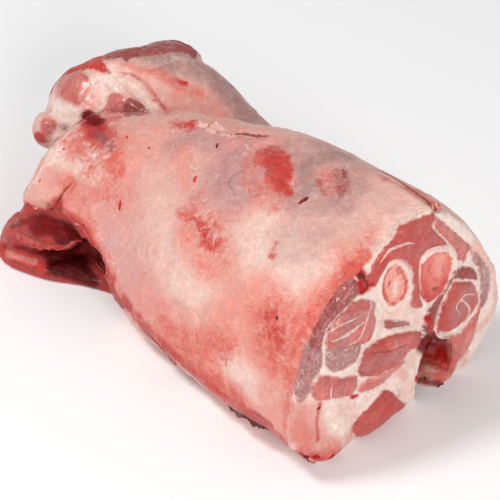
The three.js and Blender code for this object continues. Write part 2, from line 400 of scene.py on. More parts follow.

# Marks of blood in the skin, whose edges the material breaks up; the dark marks along the lower edge are
# painted shade instead.
BLOOD_MARKS = {
    "exposed muscle": Stain(((266, 158), (276, 166), (281, 184)), 6.5, 4, 1.15, "muscle"),
    "exposed muscle core": Stain(((273, 158), (284, 170), (283, 182)), 4.5, 4, 1.2, "red"),
    "exposed muscle top": Stain(((268, 150), (274, 153)), 2, 2.5, 1.1, "wall"),
    "exposed muscle foot": Stain(((286, 190), (288, 194)), 1.6, 2.5, 1.1, "red"),
    "exposed muscle fade": Stain(((252, 162), (250, 178)), 4, 5, 0.5, "coral"),
    "clot surround": Stain(((88, 118), (95, 128), (103, 138)), 5, 7, 1.3, "red"),
    "crest side red": Stain(((104, 118), (116, 119)), 2.5, 5, 0.9, "coral"),
    "clot trail": Stain(((84, 132), (96, 146), (106, 164)), 8, 13, 0.75, "coral"),
    "clot halo": Stain(((88, 118), (95, 124), (97, 130)), 3.5, 4, 1.3, "blood"),
    "crest clot": Stain(((87, 116), (93, 119), (98, 122)), 2.6, 2.5, 1.4, "clot"),
    "clot tail": Stain(((99, 134), (106, 141), (112, 148)), 0.8, 2.5, 0.9, "deep"),
    "crest coral": Stain(((174, 124), (190, 126)), 3, 4, 0.75, "red"),
    "shoulder veins": Stain(((80, 196), (104, 190), (124, 200)), 3, 6, 0.5, "coral"),
    "lip veins": Stain(((66, 204), (86, 224), (98, 248), (118, 285)), 2.5, 5, 0.5, "coral"),
    "middle red": Stain(((190, 210), (202, 230), (218, 254)), 5, 11, 0.6, "coral"),
    "middle red core": Stain(((196, 212), (203, 230), (211, 246)), 1.8, 6, 0.95, "red"),
    "lower red": Stain(((262, 306), (282, 312), (300, 322)), 4, 8, 0.6, "coral"),
    "near side red": Stain(((262, 320), (266, 340), (276, 362)), 6, 9, 0.75, "coral"),
    "near side core": Stain(((268, 318), (276, 334), (280, 348)), 3, 7, 0.9, "red"),
    # painted shade under the lower edge, in a dark meat colour
    "under edge": Stain(((140, 322), (162, 350), (182, 374)), 1.5, 4, 1.3, "deep"),
    "low side coral": Stain(((186, 352), (212, 378), (240, 398)), 4, 6, 0.8, "coral"),
    # this mark and the next are painted shade under the lower edge, near the side and at the front
    "low edge shade": Stain(((164, 346), (177, 358), (190, 370)), 2.4, 2.5, 1.3, "deep"),
    "front edge shade": Stain(((246, 408), (258, 416), (270, 424)), 1.4, 2.2, 1.2, "deep"),
    "front edge coral": Stain(((125, 302), (160, 340), (200, 378), (245, 410), (285, 442)), 2, 6, 0.95,
        "red"),
    "side coral": Stain(((170, 332), (190, 345), (222, 345)), 5, 10, 0.75, "coral"),
    "rim red": Stain(((288, 434), (290, 415), (291, 385), (299, 345), (313, 313), (330, 292), (347, 275)),
        2.4, 5.5, 0.9, "coral"),
    "rim coral top": Stain(((350, 272), (360, 255), (364, 242)), 4, 7, 0.55, "coral"),
    "rim blood": Stain(((346, 273), (353, 267), (361, 268), (364, 276)), 2.0, 3.0, 1.3, "blood"),
    "rim blood halo": Stain(((344, 277), (354, 266), (365, 254)), 3, 5, 0.85, "coral"),
    "small red": Stain(((276, 244), (273, 254)), 1.4, 2.4, 0.8, "red"),
    "rear spot": Stain(((178, 81), (186, 84)), 1.0, 2.5, 0.9, "red"),
    "lilac blood": Stain(((250, 180), (262, 190), (272, 204)), 3, 7, 0.6, "coral"),
    "far end red": Stain(((60, 146), (70, 132)), 2, 5, 0.5, "coral"),
}

# Soft marks on cut flesh and cut fat, and small strong ones on the skin, painted last; the dark ones in the
# mouth, the notch and under the lower edge hold painted shade.
CUT_STAINS = {
    "rear crease red": Stain(((124, 74), (136, 77), (147, 86), (156, 97), (168, 112)), 0.7, 1.6, 0.8,
        "coral"),
    "rear crease low": Stain(((154, 100), (162, 107), (169, 113)), 0.8, 1.2, 0.8, "red"),
    "dark stripe": Stain(((344, 169), (346, 180), (346, 194)), 1.1, 1.1, 1.0, "deep"),
    "dark stripe core": Stain(((344, 172), (345, 178)), 0.8, 1.0, 0.7, "clot"),
    "dark stripe top": Stain(((344, 158), (345, 168)), 0.7, 1.4, 0.7, "grey"),
    "second stripe": Stain(((336, 171), (339, 184), (341, 197)), 0.8, 0.9, 1.0, "deep"),
    "thin stripe": Stain(((319, 180), (321, 188), (325, 195)), 0.5, 0.8, 0.7, "wall"),
    "small red low": Stain(((286, 188), (288, 194)), 0.8, 1.4, 0.8, "red"),
    "rear white fat": Stain(((47, 106), (58, 110), (72, 116)), 4.5, 2.5, 1.0, "white_fat"),
    "rear fat rim": Stain(((54, 94), (50, 104)), 2, 3, 0.7, "cream"),
    "rear white ridge": Stain(((96, 80), (101, 90), (101, 102)), 2.8, 2.5, 0.9, "white_fat"),
    "rear ridge pink": Stain(((97, 82), (100, 104)), 0.7, 1.5, 0.6, "salmon"),
    "rear ridge salmon": Stain(((85, 88), (88, 101)), 2.5, 3, 0.75, "salmon"),
    "rear fat by fold": Stain(((108, 78), (118, 86)), 2.5, 2, 0.9, "white_fat"),
    "rear fat top": Stain(((88, 73), (94, 75)), 1.2, 1.5, 0.8, "pale"),
    "rear low fat": Stain(((38, 146), (50, 152), (56, 140)), 4.5, 3, 0.9, "cream"),
    "rear low red": Stain(((42, 131), (50, 133), (58, 139)), 0.8, 1.2, 0.8, "coral"),
    "rear side pink": Stain(((50, 90), (47, 100)), 2, 3, 0.4, "salmon"),
    "shoulder crease soft": Stain(((96, 183), (112, 184), (128, 189), (138, 196)), 0.5, 1.8, 0.45, "coral"),
    "long line soft": Stain(((147, 244), (146, 262), (141, 288)), 0.5, 1.6, 0.4, "coral"),
    "branch line soft": Stain(((195, 182), (190, 196), (196, 206)), 0.5, 1.4, 0.5, "coral"),
    # painted shade under the lower edge, near the side and at the front
    "low edge dark": Stain(((172, 362), (182, 370), (192, 378)), 1.4, 2.6, 0.8, "deep"),
    "front edge dark": Stain(((248, 412), (258, 418), (268, 426)), 1.4, 2.4, 0.8, "deep"),
    "left wall": Stain(((14, 222), (6, 238)), 5, 4, 0.3, "coral"),
    # painted shade in the gap of the left wall
    "wall dark gap": Stain(((12, 226), (24, 222), (34, 216)), 1, 2, 0.6, "hollow"),
    "wall corner": Stain(((50, 208), (58, 204), (62, 212)), 1, 3, 0.8, "clot"),
    "wall streak": Stain(((6, 240), (24, 236), (38, 240)), 1.5, 2, 0.6, "deep"),
    "wall low streak": Stain(((2, 250), (20, 249), (34, 252)), 2, 2.5, 0.7, "clot"),
    # the mouth's marks in the hollow colour are dark meat with painted shade of the mouth
    "mouth dark": Stain(((42, 222), (58, 227), (78, 232)), 4, 3, 1.0, "hollow"),
    "mouth low dark": Stain(((46, 258), (75, 262), (96, 272)), 8, 3, 1.0, "hollow"),
    "mouth corner": Stain(((62, 240), (84, 240), (96, 262)), 4, 3, 0.95, "hollow"),
    "mouth lump": Stain(((36, 229), (50, 226), (68, 232)), 4.5, 3, 0.85, "clot"),
    # painted shade under the lump
    "mouth under lump": Stain(((44, 246), (58, 250), (76, 246)), 1.5, 2, 0.8, "hollow"),
    "mouth membrane": Stain(((18, 236), (35, 244), (55, 248), (72, 244)), 0.8, 1.4, 0.7, "coral"),
    "flap base": Stain(((4, 252), (20, 259), (36, 268)), 5.5, 3, 0.8, "red"),
    # painted shade on the mouth's floor
    "mouth floor dark": Stain(((56, 267), (72, 271), (92, 277)), 4.5, 2, 1.0, "hollow"),
    "flap stripe a": Stain(((8, 254), (22, 258), (34, 261)), 1.2, 1.6, 0.7, "salmon"),
    "flap stripe b": Stain(((4, 246), (20, 248), (34, 252)), 0.8, 1.2, 0.8, "clot"),
    "flap stripe c": Stain(((10, 262), (24, 266), (40, 274)), 0.8, 1.2, 0.7, "deep"),
    "flap rim": Stain(((0, 262), (14, 272), (36, 280), (62, 285), (112, 290)), 1.5, 1.5, 0.9, "blood"),
    "lip flesh": Stain((
        (59, 203), (64, 213), (78, 224), (87, 236), (91, 250), (97, 264), (105, 278), (114, 291)), 2.8, 1.8,
        0.95,
        "wall"),
    "lip skin": Stain(((109, 254), (116, 268), (124, 284)), 1.2, 1.6, 0.8, "pink"),
    # painted shade at the back and top of the notch, in the clot colour
    "notch deep": Stain(((424, 343), (432, 348), (440, 343)), 5, 2, 1.0, "clot"),
    "notch red": Stain(((438, 350), (443, 356), (449, 365)), 3.2, 2.5, 0.95, "blood"),
    "notch floor": Stain(((424, 362), (434, 368), (446, 376)), 6, 2, 1.0, "red"),
    "notch floor pale": Stain(((430, 370), (440, 375), (450, 377)), 2.0, 2.2, 0.7, "coral"),
    "notch side": Stain(((451, 346), (455, 358), (452, 368)), 2, 2.5, 0.7, "rose"),
    # painted shade under the face's edge along the notch's top
    "notch brow": Stain(((424, 328), (430, 334), (438, 337)), 1.2, 1.5, 0.9, "clot"),
    # painted shadow along the notch's foot
    "notch foot rim": Stain(((420, 379), (430, 383), (444, 386)), 1.2, 1.5, 0.9, "clot"),
    "tip red": Stain(((298, 452), (315, 457), (338, 452)), 2, 2.5, 0.9, "blood"),
    "tip coral": Stain(((296, 432), (312, 442), (330, 446)), 3, 5, 0.6, "coral"),
    "tip side": Stain(((350, 440), (330, 452)), 2, 4, 0.5, "coral"),
    "bottom red line": Stain(((320, 404), (317, 420), (318, 440)), 0.7, 1.2, 0.9, "blood"),
    "bottom coral": Stain(((305, 410), (312, 434)), 3, 5, 0.65, "coral"),
    "bottom coral right": Stain(((318, 405), (324, 436)), 1.5, 4, 0.4, "coral"),
    "rim corner blood": Stain(((350, 273), (357, 270), (363, 277), (363, 290)), 1.5, 1.6, 1.0, "blood"),
    "rim corner clot": Stain(((354, 270), (360, 276), (363, 288)), 1.3, 1.2, 1.0, "clot"),
    # painted shade along the underside of the lower edge
    "low under edge": Stain(((150, 336), (166, 354), (184, 378)), 1.2, 2.4, 0.85, "deep"),
    "front under edge": Stain(((226, 402), (246, 414), (270, 430)), 1.0, 2.2, 0.7, "deep"),
    "front corner red": Stain(((292, 410), (300, 436), (306, 450)), 3, 4.5, 0.75, "coral"),
    "under bone pink": Stain(((384, 318), (404, 314), (418, 322)), 3, 4, 0.3, "salmon"),
    "fat pink a": Stain(((340, 408), (352, 414)), 2, 5, 0.25, "salmon"),
    "fat pink b": Stain(((410, 386), (404, 392)), 2, 5, 0.25, "salmon"),
    "eye frost": Stain(((338, 340), (346, 324), (356, 316)), 2.5, 3.5, 0.65, "frosted"),
    "eye rose": Stain(((368, 308), (370, 326)), 2, 3, 0.5, "rose"),
    "glossy dark": Stain(((366, 368), (380, 360), (396, 356)), 2, 3, 0.5, "frosted"),
    "glossy bright": Stain(((392, 342), (410, 338)), 2, 3, 0.6, "coral"),
    "top left red": Stain(((370, 284), (376, 274), (384, 262)), 2.5, 3.5, 0.55, "red"),
    "right eye dark": Stain(((456, 312), (462, 300), (466, 290)), 3, 3.5, 0.55, "frosted"),
    "right eye foot": Stain(((442, 334), (454, 332), (466, 324)), 1.4, 1.6, 0.8, "white_fat"),
    "right inner red": Stain(((428, 318), (432, 330)), 1.5, 2, 0.7, "red"),
    "lump red": Stain(((384, 412), (396, 402)), 2, 3, 0.5, "red"),
    "bone side blood": Stain(((361, 283), (363, 292), (371, 284)), 1.0, 1.5, 0.95, "blood"),
    "above bone red": Stain(((400, 262), (410, 268)), 1.5, 2, 0.5, "red"),
    "knob red": Stain(((426, 318), (429, 320)), 0.8, 1.2, 0.9, "blood"),
    "right fat red": Stain(((466, 252), (464, 260)), 1.0, 1.2, 0.85, "red"),
    "right edge pink": Stain((
        (474, 246), (490, 262), (496, 285), (491, 315), (480, 345), (464, 364)), 2.0, 2.5, 0.5, "salmon"),
    "low fat coral": Stain(((372, 378), (395, 371), (405, 376)), 1.2, 2.5, 0.6, "salmon"),
    "right low pink": Stain(((398, 350), (412, 362)), 2, 4, 0.3, "pink"),
    "lump side red": Stain(((402, 411), (392, 417)), 1.5, 2, 0.8, "blood"),
    "fat edge red": Stain(((416, 377), (417, 382)), 0.8, 1.0, 0.9, "blood"),
    "mid speck": Stain(((352, 397), (357, 396)), 0.8, 0.8, 0.9, "blood"),
}

# A muscle is an outline of photo pixels; angle is its grain in the photo in degrees, rise in mm.
Muscle = namedtuple("Muscle", "outline colour angle rise flecks")

FACE_MUSCLES = {
    "outer band": Muscle((
        (354, 279), (361, 284), (360, 293), (354, 301), (347, 308), (339, 317), (332, 326), (326, 335),
        (323, 344), (321, 352), (313, 354), (304, 352), (306, 347), (314, 328), (325, 308), (339, 288),
        (347, 280)),
        "deep", 55, 0.5, 0.9),
    "outer foot": Muscle((
        (311, 342), (321, 344), (323, 360), (320, 374), (313, 382), (309, 396), (301, 404), (295, 397),
        (293, 387), (299, 365), (304, 345)), "frosted", 75, 0.3, 1.0),
    "eye foot": Muscle((
        (328, 344), (343, 342), (357, 339), (362, 348), (358, 360), (350, 367), (338, 372), (329, 370),
        (326, 361)),
        "frosted", 20, 0.5, 1.0),
    "eye": Muscle((
        (359, 300), (369, 300), (377, 304), (375, 314), (377, 320), (375, 331), (370, 341), (360, 346),
        (344, 349), (330, 353), (326, 346), (327, 336), (333, 325), (341, 315), (349, 306)), "rose", 38,
        1.0, 0.45),
    "lower left": Muscle((
        (325, 376), (339, 378), (356, 376), (358, 380), (357, 389), (351, 396), (338, 399), (323, 401),
        (315, 399), (311, 391), (315, 382)), "rose", 5, 0.8, 0.3),
    "glossy": Muscle((
        (360, 359), (364, 353), (372, 344), (382, 339), (397, 334), (416, 331), (422, 333), (422, 343),
        (418, 348), (411, 351), (405, 359), (395, 368), (382, 374), (367, 377), (359, 376), (360, 366)),
        "muscle", 22, 0.6, 0.2),
    "low strip": Muscle((
        (359, 389), (362, 384), (372, 379), (388, 372), (403, 361), (405, 364), (395, 373), (388, 380),
        (379, 387), (367, 392), (360, 393)), "rose", 30, 0.4, 0.2),
    "slim": Muscle((
        (384, 323), (388, 320), (402, 320), (408, 322), (411, 325), (406, 328), (395, 329), (385, 329)),
        "deep", 0, 0.4, 0.3),
    "top": Muscle((
        (372, 265), (382, 250), (395, 236), (397, 228), (405, 223), (415, 219), (426, 215), (434, 212),
        (436, 217), (433, 225), (435, 230), (443, 238), (448, 244), (438, 246), (430, 250), (425, 255),
        (421, 262), (420, 273), (421, 283), (420, 293), (421, 300), (424, 306), (418, 309), (411, 306),
        (413, 293), (414, 280), (412, 268), (406, 261), (398, 260), (390, 263), (387, 270), (382, 277),
        (379, 283), (375, 288), (369, 286), (366, 280), (370, 273)), "muscle", 40, 0.7, 0.35),
    "top right": Muscle((
        (437, 217), (444, 222), (454, 231), (464, 240), (472, 248), (467, 254), (461, 261), (457, 258),
        (455, 251), (448, 242), (438, 232), (435, 225)), "rose", -40, 0.6, 0.5),
    "right upper": Muscle((
        (454, 273), (461, 267), (470, 267), (477, 273), (478, 280), (472, 280), (461, 279), (453, 279)),
        "deep", 0, 0.5, 0.2),
    "right eye": Muscle((
        (454, 282), (472, 282), (477, 290), (479, 300), (474, 311), (467, 319), (457, 328), (448, 333),
        (439, 331), (438, 323), (441, 310), (446, 298), (450, 290)), "muscle", 60, 1.0, 0.45),
    "right inner": Muscle((
        (452, 279), (453, 282), (446, 294), (440, 306), (436, 319), (434, 331), (429, 331), (426, 323),
        (429, 310), (437, 300), (445, 290)), "deep", 60, 0.4, 0.1),
    "right outer": Muscle((
        (480, 293), (482, 306), (479, 319), (473, 341), (464, 356), (454, 367), (448, 373), (446, 363),
        (444, 353), (447, 343), (459, 333), (469, 323), (477, 310)), "rose", 62, 0.6, 0.2),
    "right frosted": Muscle((
        (475, 251), (484, 260), (490, 271), (491, 286), (488, 299), (482, 309), (481, 299), (481, 286),
        (479, 270), (472, 258)), "frosted", -60, 0.3, 1.0),
    "lean lump": Muscle((
        (352, 430), (357, 419), (367, 409), (378, 397), (385, 390), (393, 392), (400, 400), (408, 405),
        (412, 409), (402, 422), (386, 432), (370, 440), (358, 438)), "muscle", 35, 0.5, 0.2),
}

REAR_MUSCLES = {
    "rear pink": Muscle((
        (58, 82), (69, 73), (79, 71), (88, 77), (90, 87), (89, 95), (84, 101), (77, 107), (72, 111),
        (65, 107), (57, 99), (55, 90)), "rose", 60, 0.8, 0.4),
    "rear dark": Muscle((
        (66, 76), (72, 64), (90, 52), (102, 54), (103, 61), (107, 68), (112, 75), (104, 73), (92, 69),
        (82, 70), (74, 73)), "red", 20, 0.5, 0.2),
    "rear line": Muscle(((104, 60), (110, 50), (136, 44), (138, 55), (122, 58)), "deep", 10, 0.2, 0.3),
    "rear mauve": Muscle((
        (110, 94), (120, 94), (126, 102), (124, 113), (114, 115), (103, 115), (103, 106)), "rose", 40, 0.5,
        0.4),
    "rear inner": Muscle(((127, 99), (138, 101), (145, 107), (150, 114), (134, 116), (124, 116)), "deep", 0,
        0.5, 0.5),
    "rear low": Muscle(((43, 119), (55, 119), (58, 126), (53, 133), (43, 135), (40, 128)), "rose", 0, 0.6,
        0.4),
    "rear tip": Muscle(((33, 135), (40, 131), (45, 133), (55, 137), (57, 140), (48, 142), (38, 143)), "red",
        0, 0.5, 0.1),
    "rear grey": Muscle(((60, 125), (67, 123), (69, 128), (64, 131)), "frosted", 0, 0.3, 0.6),
    "far lump": Muscle((
        (132, 54), (145, 47), (158, 39), (175, 41), (183, 46), (184, 52), (165, 54), (150, 56)), "deep", 0,
        0.6, 0.6),
}

# A seam is a thin line along photo pixels; width is in mm.
Seam = namedtuple("Seam", "path width")

WHITE_SEAMS = {
    "above bone": Seam(((381, 260), (388, 251), (397, 246), (405, 243), (411, 243)), 1.0),
    "nodule line": Seam(((432, 227), (441, 236), (449, 244), (455, 251), (457, 260), (457, 265)), 1.1),
    "eye top": Seam((
        (375, 293), (367, 298), (359, 298), (352, 301), (346, 308), (338, 316), (329, 326), (325, 336),
        (324, 348), (327, 354)), 1.0),
    "eye right": Seam((
        (379, 294), (375, 308), (378, 316), (377, 329), (372, 341), (364, 348), (360, 356), (359, 366),
        (356, 372)), 2.0),
    "eye streak": Seam(((333, 339), (344, 334), (351, 329), (359, 323)), 1.3),
    "eye loop": Seam(((328, 333), (339, 324), (349, 319), (359, 314)), 0.6),
    "eye inner": Seam(((369, 303), (365, 316), (362, 326), (356, 338), (347, 344)), 0.6),
    "low left": Seam(((330, 386), (329, 392), (331, 399)), 0.7),
    "right seam": Seam((
        (454, 281), (447, 290), (443, 300), (439, 310), (437, 319), (436, 331), (441, 338), (449, 338)), 1.1),
    "right top": Seam(((454, 281), (464, 281), (472, 281), (475, 286)), 0.9),
    "right spiral": Seam(((474, 293), (464, 293), (457, 300), (454, 306), (456, 311)), 0.6),
    "right streak": Seam(((461, 299), (466, 306), (467, 313), (464, 319)), 1.3),
    "outer thin": Seam(((481, 286), (480, 299), (477, 309), (469, 323)), 0.7),
    "bone fork": Seam(((379, 293), (372, 300), (369, 308)), 1.0),
    "under slim": Seam(((382, 333), (395, 330), (405, 328), (415, 326), (421, 328)), 2.2),
    "under bone": Seam(((382, 314), (395, 319), (408, 318), (418, 314), (426, 313)), 2.4),
    "far edge": Seam(((81, 117), (69, 131), (57, 145), (48, 157), (38, 176), (29, 188), (25, 202)), 0.9),
}

# A crease is a thin dark line; amount is how dark. Along folds, slits, grooves and crevices the dark is
# painted shade, in places over dark meat showing in them; the face blood line is blood.
Crease = namedtuple("Crease", "path width amount")

CREASES = {
    "crest slit": Crease(((238, 134), (246, 134), (256, 136), (265, 136)), 1.3, 0.9),
    "side fold": Crease(((380, 171), (395, 178), (412, 190), (426, 200), (434, 207)), 1.0, 0.75),
    "lip crease": Crease(((69, 186), (63, 193), (58, 202)), 1.4, 0.8),
    "rear crease": Crease(((122, 73), (134, 76), (146, 85), (155, 95), (163, 106), (169, 112)), 1.3, 0.35),
    "rear low crease": Crease(((110, 74), (120, 83), (131, 94), (143, 105)), 0.7, 0.25),
    "bruise stripe": Crease(((241, 172), (231, 178), (229, 184), (233, 190)), 1.2, 0.25),
    "glossy fold": Crease(((372, 352), (390, 350), (405, 344)), 0.7, 0.5),
    "face blood line": Crease(((363, 276), (368, 286), (363, 292)), 1.0, 0.8),
    "eye low crease": Crease(((358, 372), (372, 376), (385, 374)), 0.8, 0.5),
    "bone side": Crease(((421, 272), (421, 284), (424, 297), (429, 304)), 1.0, 0.5),
    "right eye side": Crease(((451, 283), (444, 296), (439, 310), (436, 325)), 1.0, 0.5),
    "notch top": Crease(((421, 334), (430, 338), (442, 340)), 1.4, 0.8),
    "front fold": Crease(((150, 338), (185, 376), (220, 405)), 1.2, 0.35),
}

# Relief pushes the surface out (or in, below zero) along a line; all in mm.
Relief = namedtuple("Relief", "path width height")

FOLDS = {
    "crest slit": Relief(((237, 133), (250, 135), (265, 136)), 2.0, -1.6),
    "side fold": Relief(((378, 170), (412, 190), (434, 207)), 2.2, -1.8),
    "side fold lip": Relief(((376, 175), (408, 195), (430, 211)), 3.0, 0.8),
    "lip crease": Relief(((71, 184), (63, 194), (58, 203)), 2.5, -2.4),
    "shoulder crease": Relief(((96, 183), (112, 184), (128, 189), (138, 196)), 2.0, -0.8),
    "rear crease": Relief(((118, 72), (134, 76), (146, 85), (155, 95), (170, 112)), 2.6, -1.8),
    "rear roll": Relief(((104, 66), (120, 65), (145, 72), (170, 88)), 4.5, 1.5),
    "rear low crease": Relief(((106, 74), (120, 83), (131, 94), (143, 105)), 2.0, -1.2),
    "torn crest": Relief(((196, 122), (215, 126), (236, 131)), 3.0, 1.0),
    "mouth lip": Relief(((59, 200), (70, 214), (85, 227), (95, 242), (101, 262), (110, 277), (119, 291)),
        2.2, 0.9),
    "skin ridge": Relief(((196, 165), (200, 180), (215, 200)), 4.0, 0.6),
    "far edge": Relief(((81, 117), (57, 145), (38, 176), (25, 202)), 1.8, 0.7),
    "exposed patch": Relief(((268, 155), (281, 168), (287, 188)), 5.0, -0.7),
    "second patch": Relief(((338, 170), (342, 192)), 5.0, -0.8),
    "ribs a": Relief(((215, 235), (235, 262), (250, 280)), 4.0, 0.5),
    "ribs b": Relief(((180, 235), (200, 268), (212, 300)), 4.5, 0.5),
    "front groove": Relief(((150, 338), (185, 376), (220, 405)), 3.0, -0.8),
    "mouth roof": Relief(((26, 238), (45, 247), (60, 248), (78, 240)), 2.4, 1.2),
    "mouth under": Relief(((40, 256), (60, 258), (85, 252)), 3.0, -1.6),
}

# Outlines of the bone heads and of the red core in each, as photo pixels.
BONES = {
    "neck_bone_front": {
        "proud": 1.1,
        "rim": ((399, 260), (407, 264), (412, 273), (413.5, 284), (411, 295), (405, 305), (397, 312),
                (391, 314), (385, 310), (380, 301), (378, 291), (380, 279), (385, 269), (392, 262)),
        "core": ((397, 264), (404, 269), (408, 279), (408, 290), (403, 299), (397, 304), (390, 306),
                 (385, 301), (382, 292), (383, 280), (387, 272), (392, 266)),
        "colour": "bone_core",
        "stains": {
            "rim left": Stain(((389, 270), (385, 280), (384, 292), (388, 301)), 0.7, 0.9, 1.0, "red"),
            "rim low": Stain(((388, 300), (394, 304), (400, 299)), 0.4, 0.7, 0.8, "red"),
            "rim right": Stain(((400, 268), (405, 278), (406, 290), (402, 299)), 0.5, 0.8, 0.9, "red"),
            "mark a": Stain(((398, 270), (399, 274)), 0.3, 0.6, 0.9, "blood"),
            "mark b": Stain(((391, 281), (389, 286)), 0.3, 0.7, 0.9, "blood"),
            "mark c": Stain(((394, 276), (393, 279)), 0.2, 0.5, 0.8, "blood"),
            "pale middle": Stain(((396, 284), (396, 292)), 1.2, 2.2, 0.7, "white_fat"),
        },
    },
    "neck_bone_rear": {
        "proud": 1.9,
        "rim": ((424, 258), (429, 252), (438, 248), (447, 248), (453.5, 251), (456.5, 258), (455, 267),
                (451, 277), (447, 287), (441, 296), (434, 302), (428, 303), (424, 297), (421.5, 287),
                (420.5, 276), (421.5, 266)),
        "core": ((425, 262), (430, 256.5), (438, 252.5), (446, 252.5), (451, 256), (452, 263), (449.5, 272),
                 (445, 283), (439, 294), (432, 301.5), (427.5, 301), (424, 295), (422, 286), (421.5, 276),
                 (422.5, 268)),
        "colour": "bone_red",
        "stains": {
            "pale side": Stain(((440, 260), (438, 274)), 2.6, 3.5, 0.75, "bone_core"),
            "pale top": Stain(((436, 256), (446, 257)), 0.8, 1.6, 0.6, "bone_core"),
            "low rim": Stain(((423, 284), (429, 297), (438, 292), (445, 282)), 1.6, 2.4, 0.95, "red"),
            "low dark": Stain(((426, 298), (431, 302)), 1.0, 1.6, 0.95, "blood"),
            "low blood": Stain(((433, 290), (438, 288)), 0.6, 1.0, 0.9, "clot"),
            "left rim": Stain(((423, 266), (422, 280)), 0.6, 1.2, 0.8, "red"),
            "mark a": Stain(((430, 266), (429, 271)), 0.4, 0.8, 0.8, "blood"),
            "mark b": Stain(((434, 279), (438, 281)), 0.6, 1.2, 0.7, "red"),
            "mark c": Stain(((443, 268), (445, 274)), 0.3, 0.8, 0.7, "red"),
        },
    },
}

# A clot is a low wet blob; its length, width and height are in mm and angle turns it in the photo.
Clot = namedtuple("Clot", "pixel length width height angle colour")

CLOTS = (
    Clot((304, 200), 4.4, 1.8, 1.2, 30, "clot"),
    Clot((300, 203), 2.0, 1.4, 0.9, 0, "blood"),
    Clot((217, 146), 3.6, 1.2, 1.0, 100, "clot"),
    Clot((195, 179), 3.4, 1.6, 0.9, 95, "red"),
    Clot((120, 206), 4.8, 1.6, 0.9, 85, "blood"),
    Clot((127, 137), 1.6, 1.2, 0.7, 0, "blood"),
    Clot((149, 148), 1.8, 1.0, 0.7, 40, "blood"),
    Clot((64, 149), 1.6, 1.0, 0.6, 20, "blood"),
    Clot((40, 181), 1.6, 1.0, 0.6, 60, "red"),
    Clot((277, 318), 2.0, 1.4, 0.8, 70, "clot"),
    Clot((354, 397), 3.0, 1.2, 0.9, 15, "blood"),
    Clot((416, 379), 2.6, 1.4, 0.9, 90, "blood"),
    Clot((319, 408), 2.0, 1.6, 1.0, 0, "clot"),
    Clot((306, 456), 4.6, 2.0, 1.4, 10, "clot"),
    Clot((316, 457), 3.4, 2.2, 1.5, 170, "blood"),
    Clot((331, 457), 4.0, 1.8, 1.2, 5, "blood"),
    Clot((341, 453), 3.0, 1.4, 1.0, 20, "red"),
    Clot((426, 319), 1.8, 1.3, 0.8, 60, "blood"),
    Clot((202, 226), 1.8, 0.8, 0.5, 60, "blood"),
    Clot((185, 82), 2.2, 0.9, 0.5, 10, "blood"),
)

# A scrap is a torn edge of membrane or meat along a line of photo pixels; its size is in mm,
# and outward is how far it leans from the photo's up (0) to straight out of the surface (1).
Scrap = namedtuple("Scrap", "path height thick turn outward colour seed")

SCRAPS = {
    "crest shreds": Scrap(((196, 126), (206, 129), (216, 130), (226, 132), (238, 136)), 3.4, 0.5, 90, 0.35,
        "pale", 3),
    "crest shreds low": Scrap(((203, 131), (214, 134), (228, 137), (240, 137)), 1.8, 0.4, 75, 0.6, "pale",
        11),
    "side shreds": Scrap(((186, 160), (192, 167), (197, 171)), 1.8, 0.4, 60, 0.7, "cream", 7),
    "near shreds": Scrap(((243, 146), (250, 150), (256, 152)), 1.8, 0.4, 60, 0.6, "pale", 8),
    "mouth membrane": Scrap((
        (17, 234), (27, 242), (43, 247), (57, 248), (68, 244), (77, 239), (84, 235)), 1.8, 0.9, -80, 0.5,
        "wall", 5),
    "lip edge": Scrap(((60, 204), (72, 219), (85, 230), (93, 246), (101, 266), (112, 284)), 1.6, 0.8, 200,
        0.3, "wall", 6),
    "peak strip": Scrap(((432, 212), (434, 208), (436, 213)), 4.2, 0.9, 80, 0.3, "salmon", 4),
    # the front and side edges are torn meat whose dark colour is partly painted shade under the lower edge
    "front edge": Scrap(((226, 404), (240, 413), (254, 421), (270, 430)), 3.6, 1.0, -75, 0.25, "hollow", 12),
    "side edge": Scrap(((148, 331), (162, 348), (176, 364), (192, 380)), 2.2, 1.0, -75, 0.25, "deep", 16),
    "tip edge": Scrap(((298, 450), (304, 456), (314, 459), (330, 459), (340, 454)), 1.8, 0.9, -85, 0.4,
        "blood", 13),
    "notch foot": Scrap(((423, 376), (431, 380), (439, 382), (446, 382)), 1.6, 0.9, -85, 0.3, "clot", 14),
    "far edge rim": Scrap(((30, 205), (38, 208), (46, 209), (54, 204)), 1.2, 0.9, -80, 0.4, "wall", 15),
}


# ---------------------------------------------------------------- meshes


def only(piece):
    """Selects one object and makes it active."""
    bpy.ops.object.select_all(action="DESELECT")
    piece.select_set(True)
    bpy.context.view_layer.objects.active = piece


def apply_modifier(piece, kind, **values):
    """Adds a modifier, sets it and applies it."""
    only(piece)
    modifier = piece.modifiers.new(kind.title(), kind)
    for key, value in values.items():
        setattr(modifier, key, value)
    bpy.ops.object.modifier_apply(modifier=modifier.name)


def join(pieces, name):
    """One object from several."""
    bpy.ops.object.select_all(action="DESELECT")
    for piece in pieces:
        piece.select_set(True)
    bpy.context.view_layer.objects.active = pieces[0]
    if len(pieces) > 1:
        bpy.ops.object.join()
    whole = pieces[0]
    whole.name = whole.data.name = name
    return whole


def copy_of(node, name):
    """A new object with a copy of a node's mesh, its loose triangles joined."""
    piece = bpy.data.objects.new(name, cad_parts[node].data.copy())
    bpy.context.scene.collection.objects.link(piece)
    piece.data.name = name
    piece.data.materials.clear()
    only(piece)
    bpy.ops.object.mode_set(mode="EDIT")
    bpy.ops.mesh.select_all(action="SELECT")
    bpy.ops.mesh.remove_doubles(threshold=0.001 * MM)
    bpy.ops.object.mode_set(mode="OBJECT")
    return piece


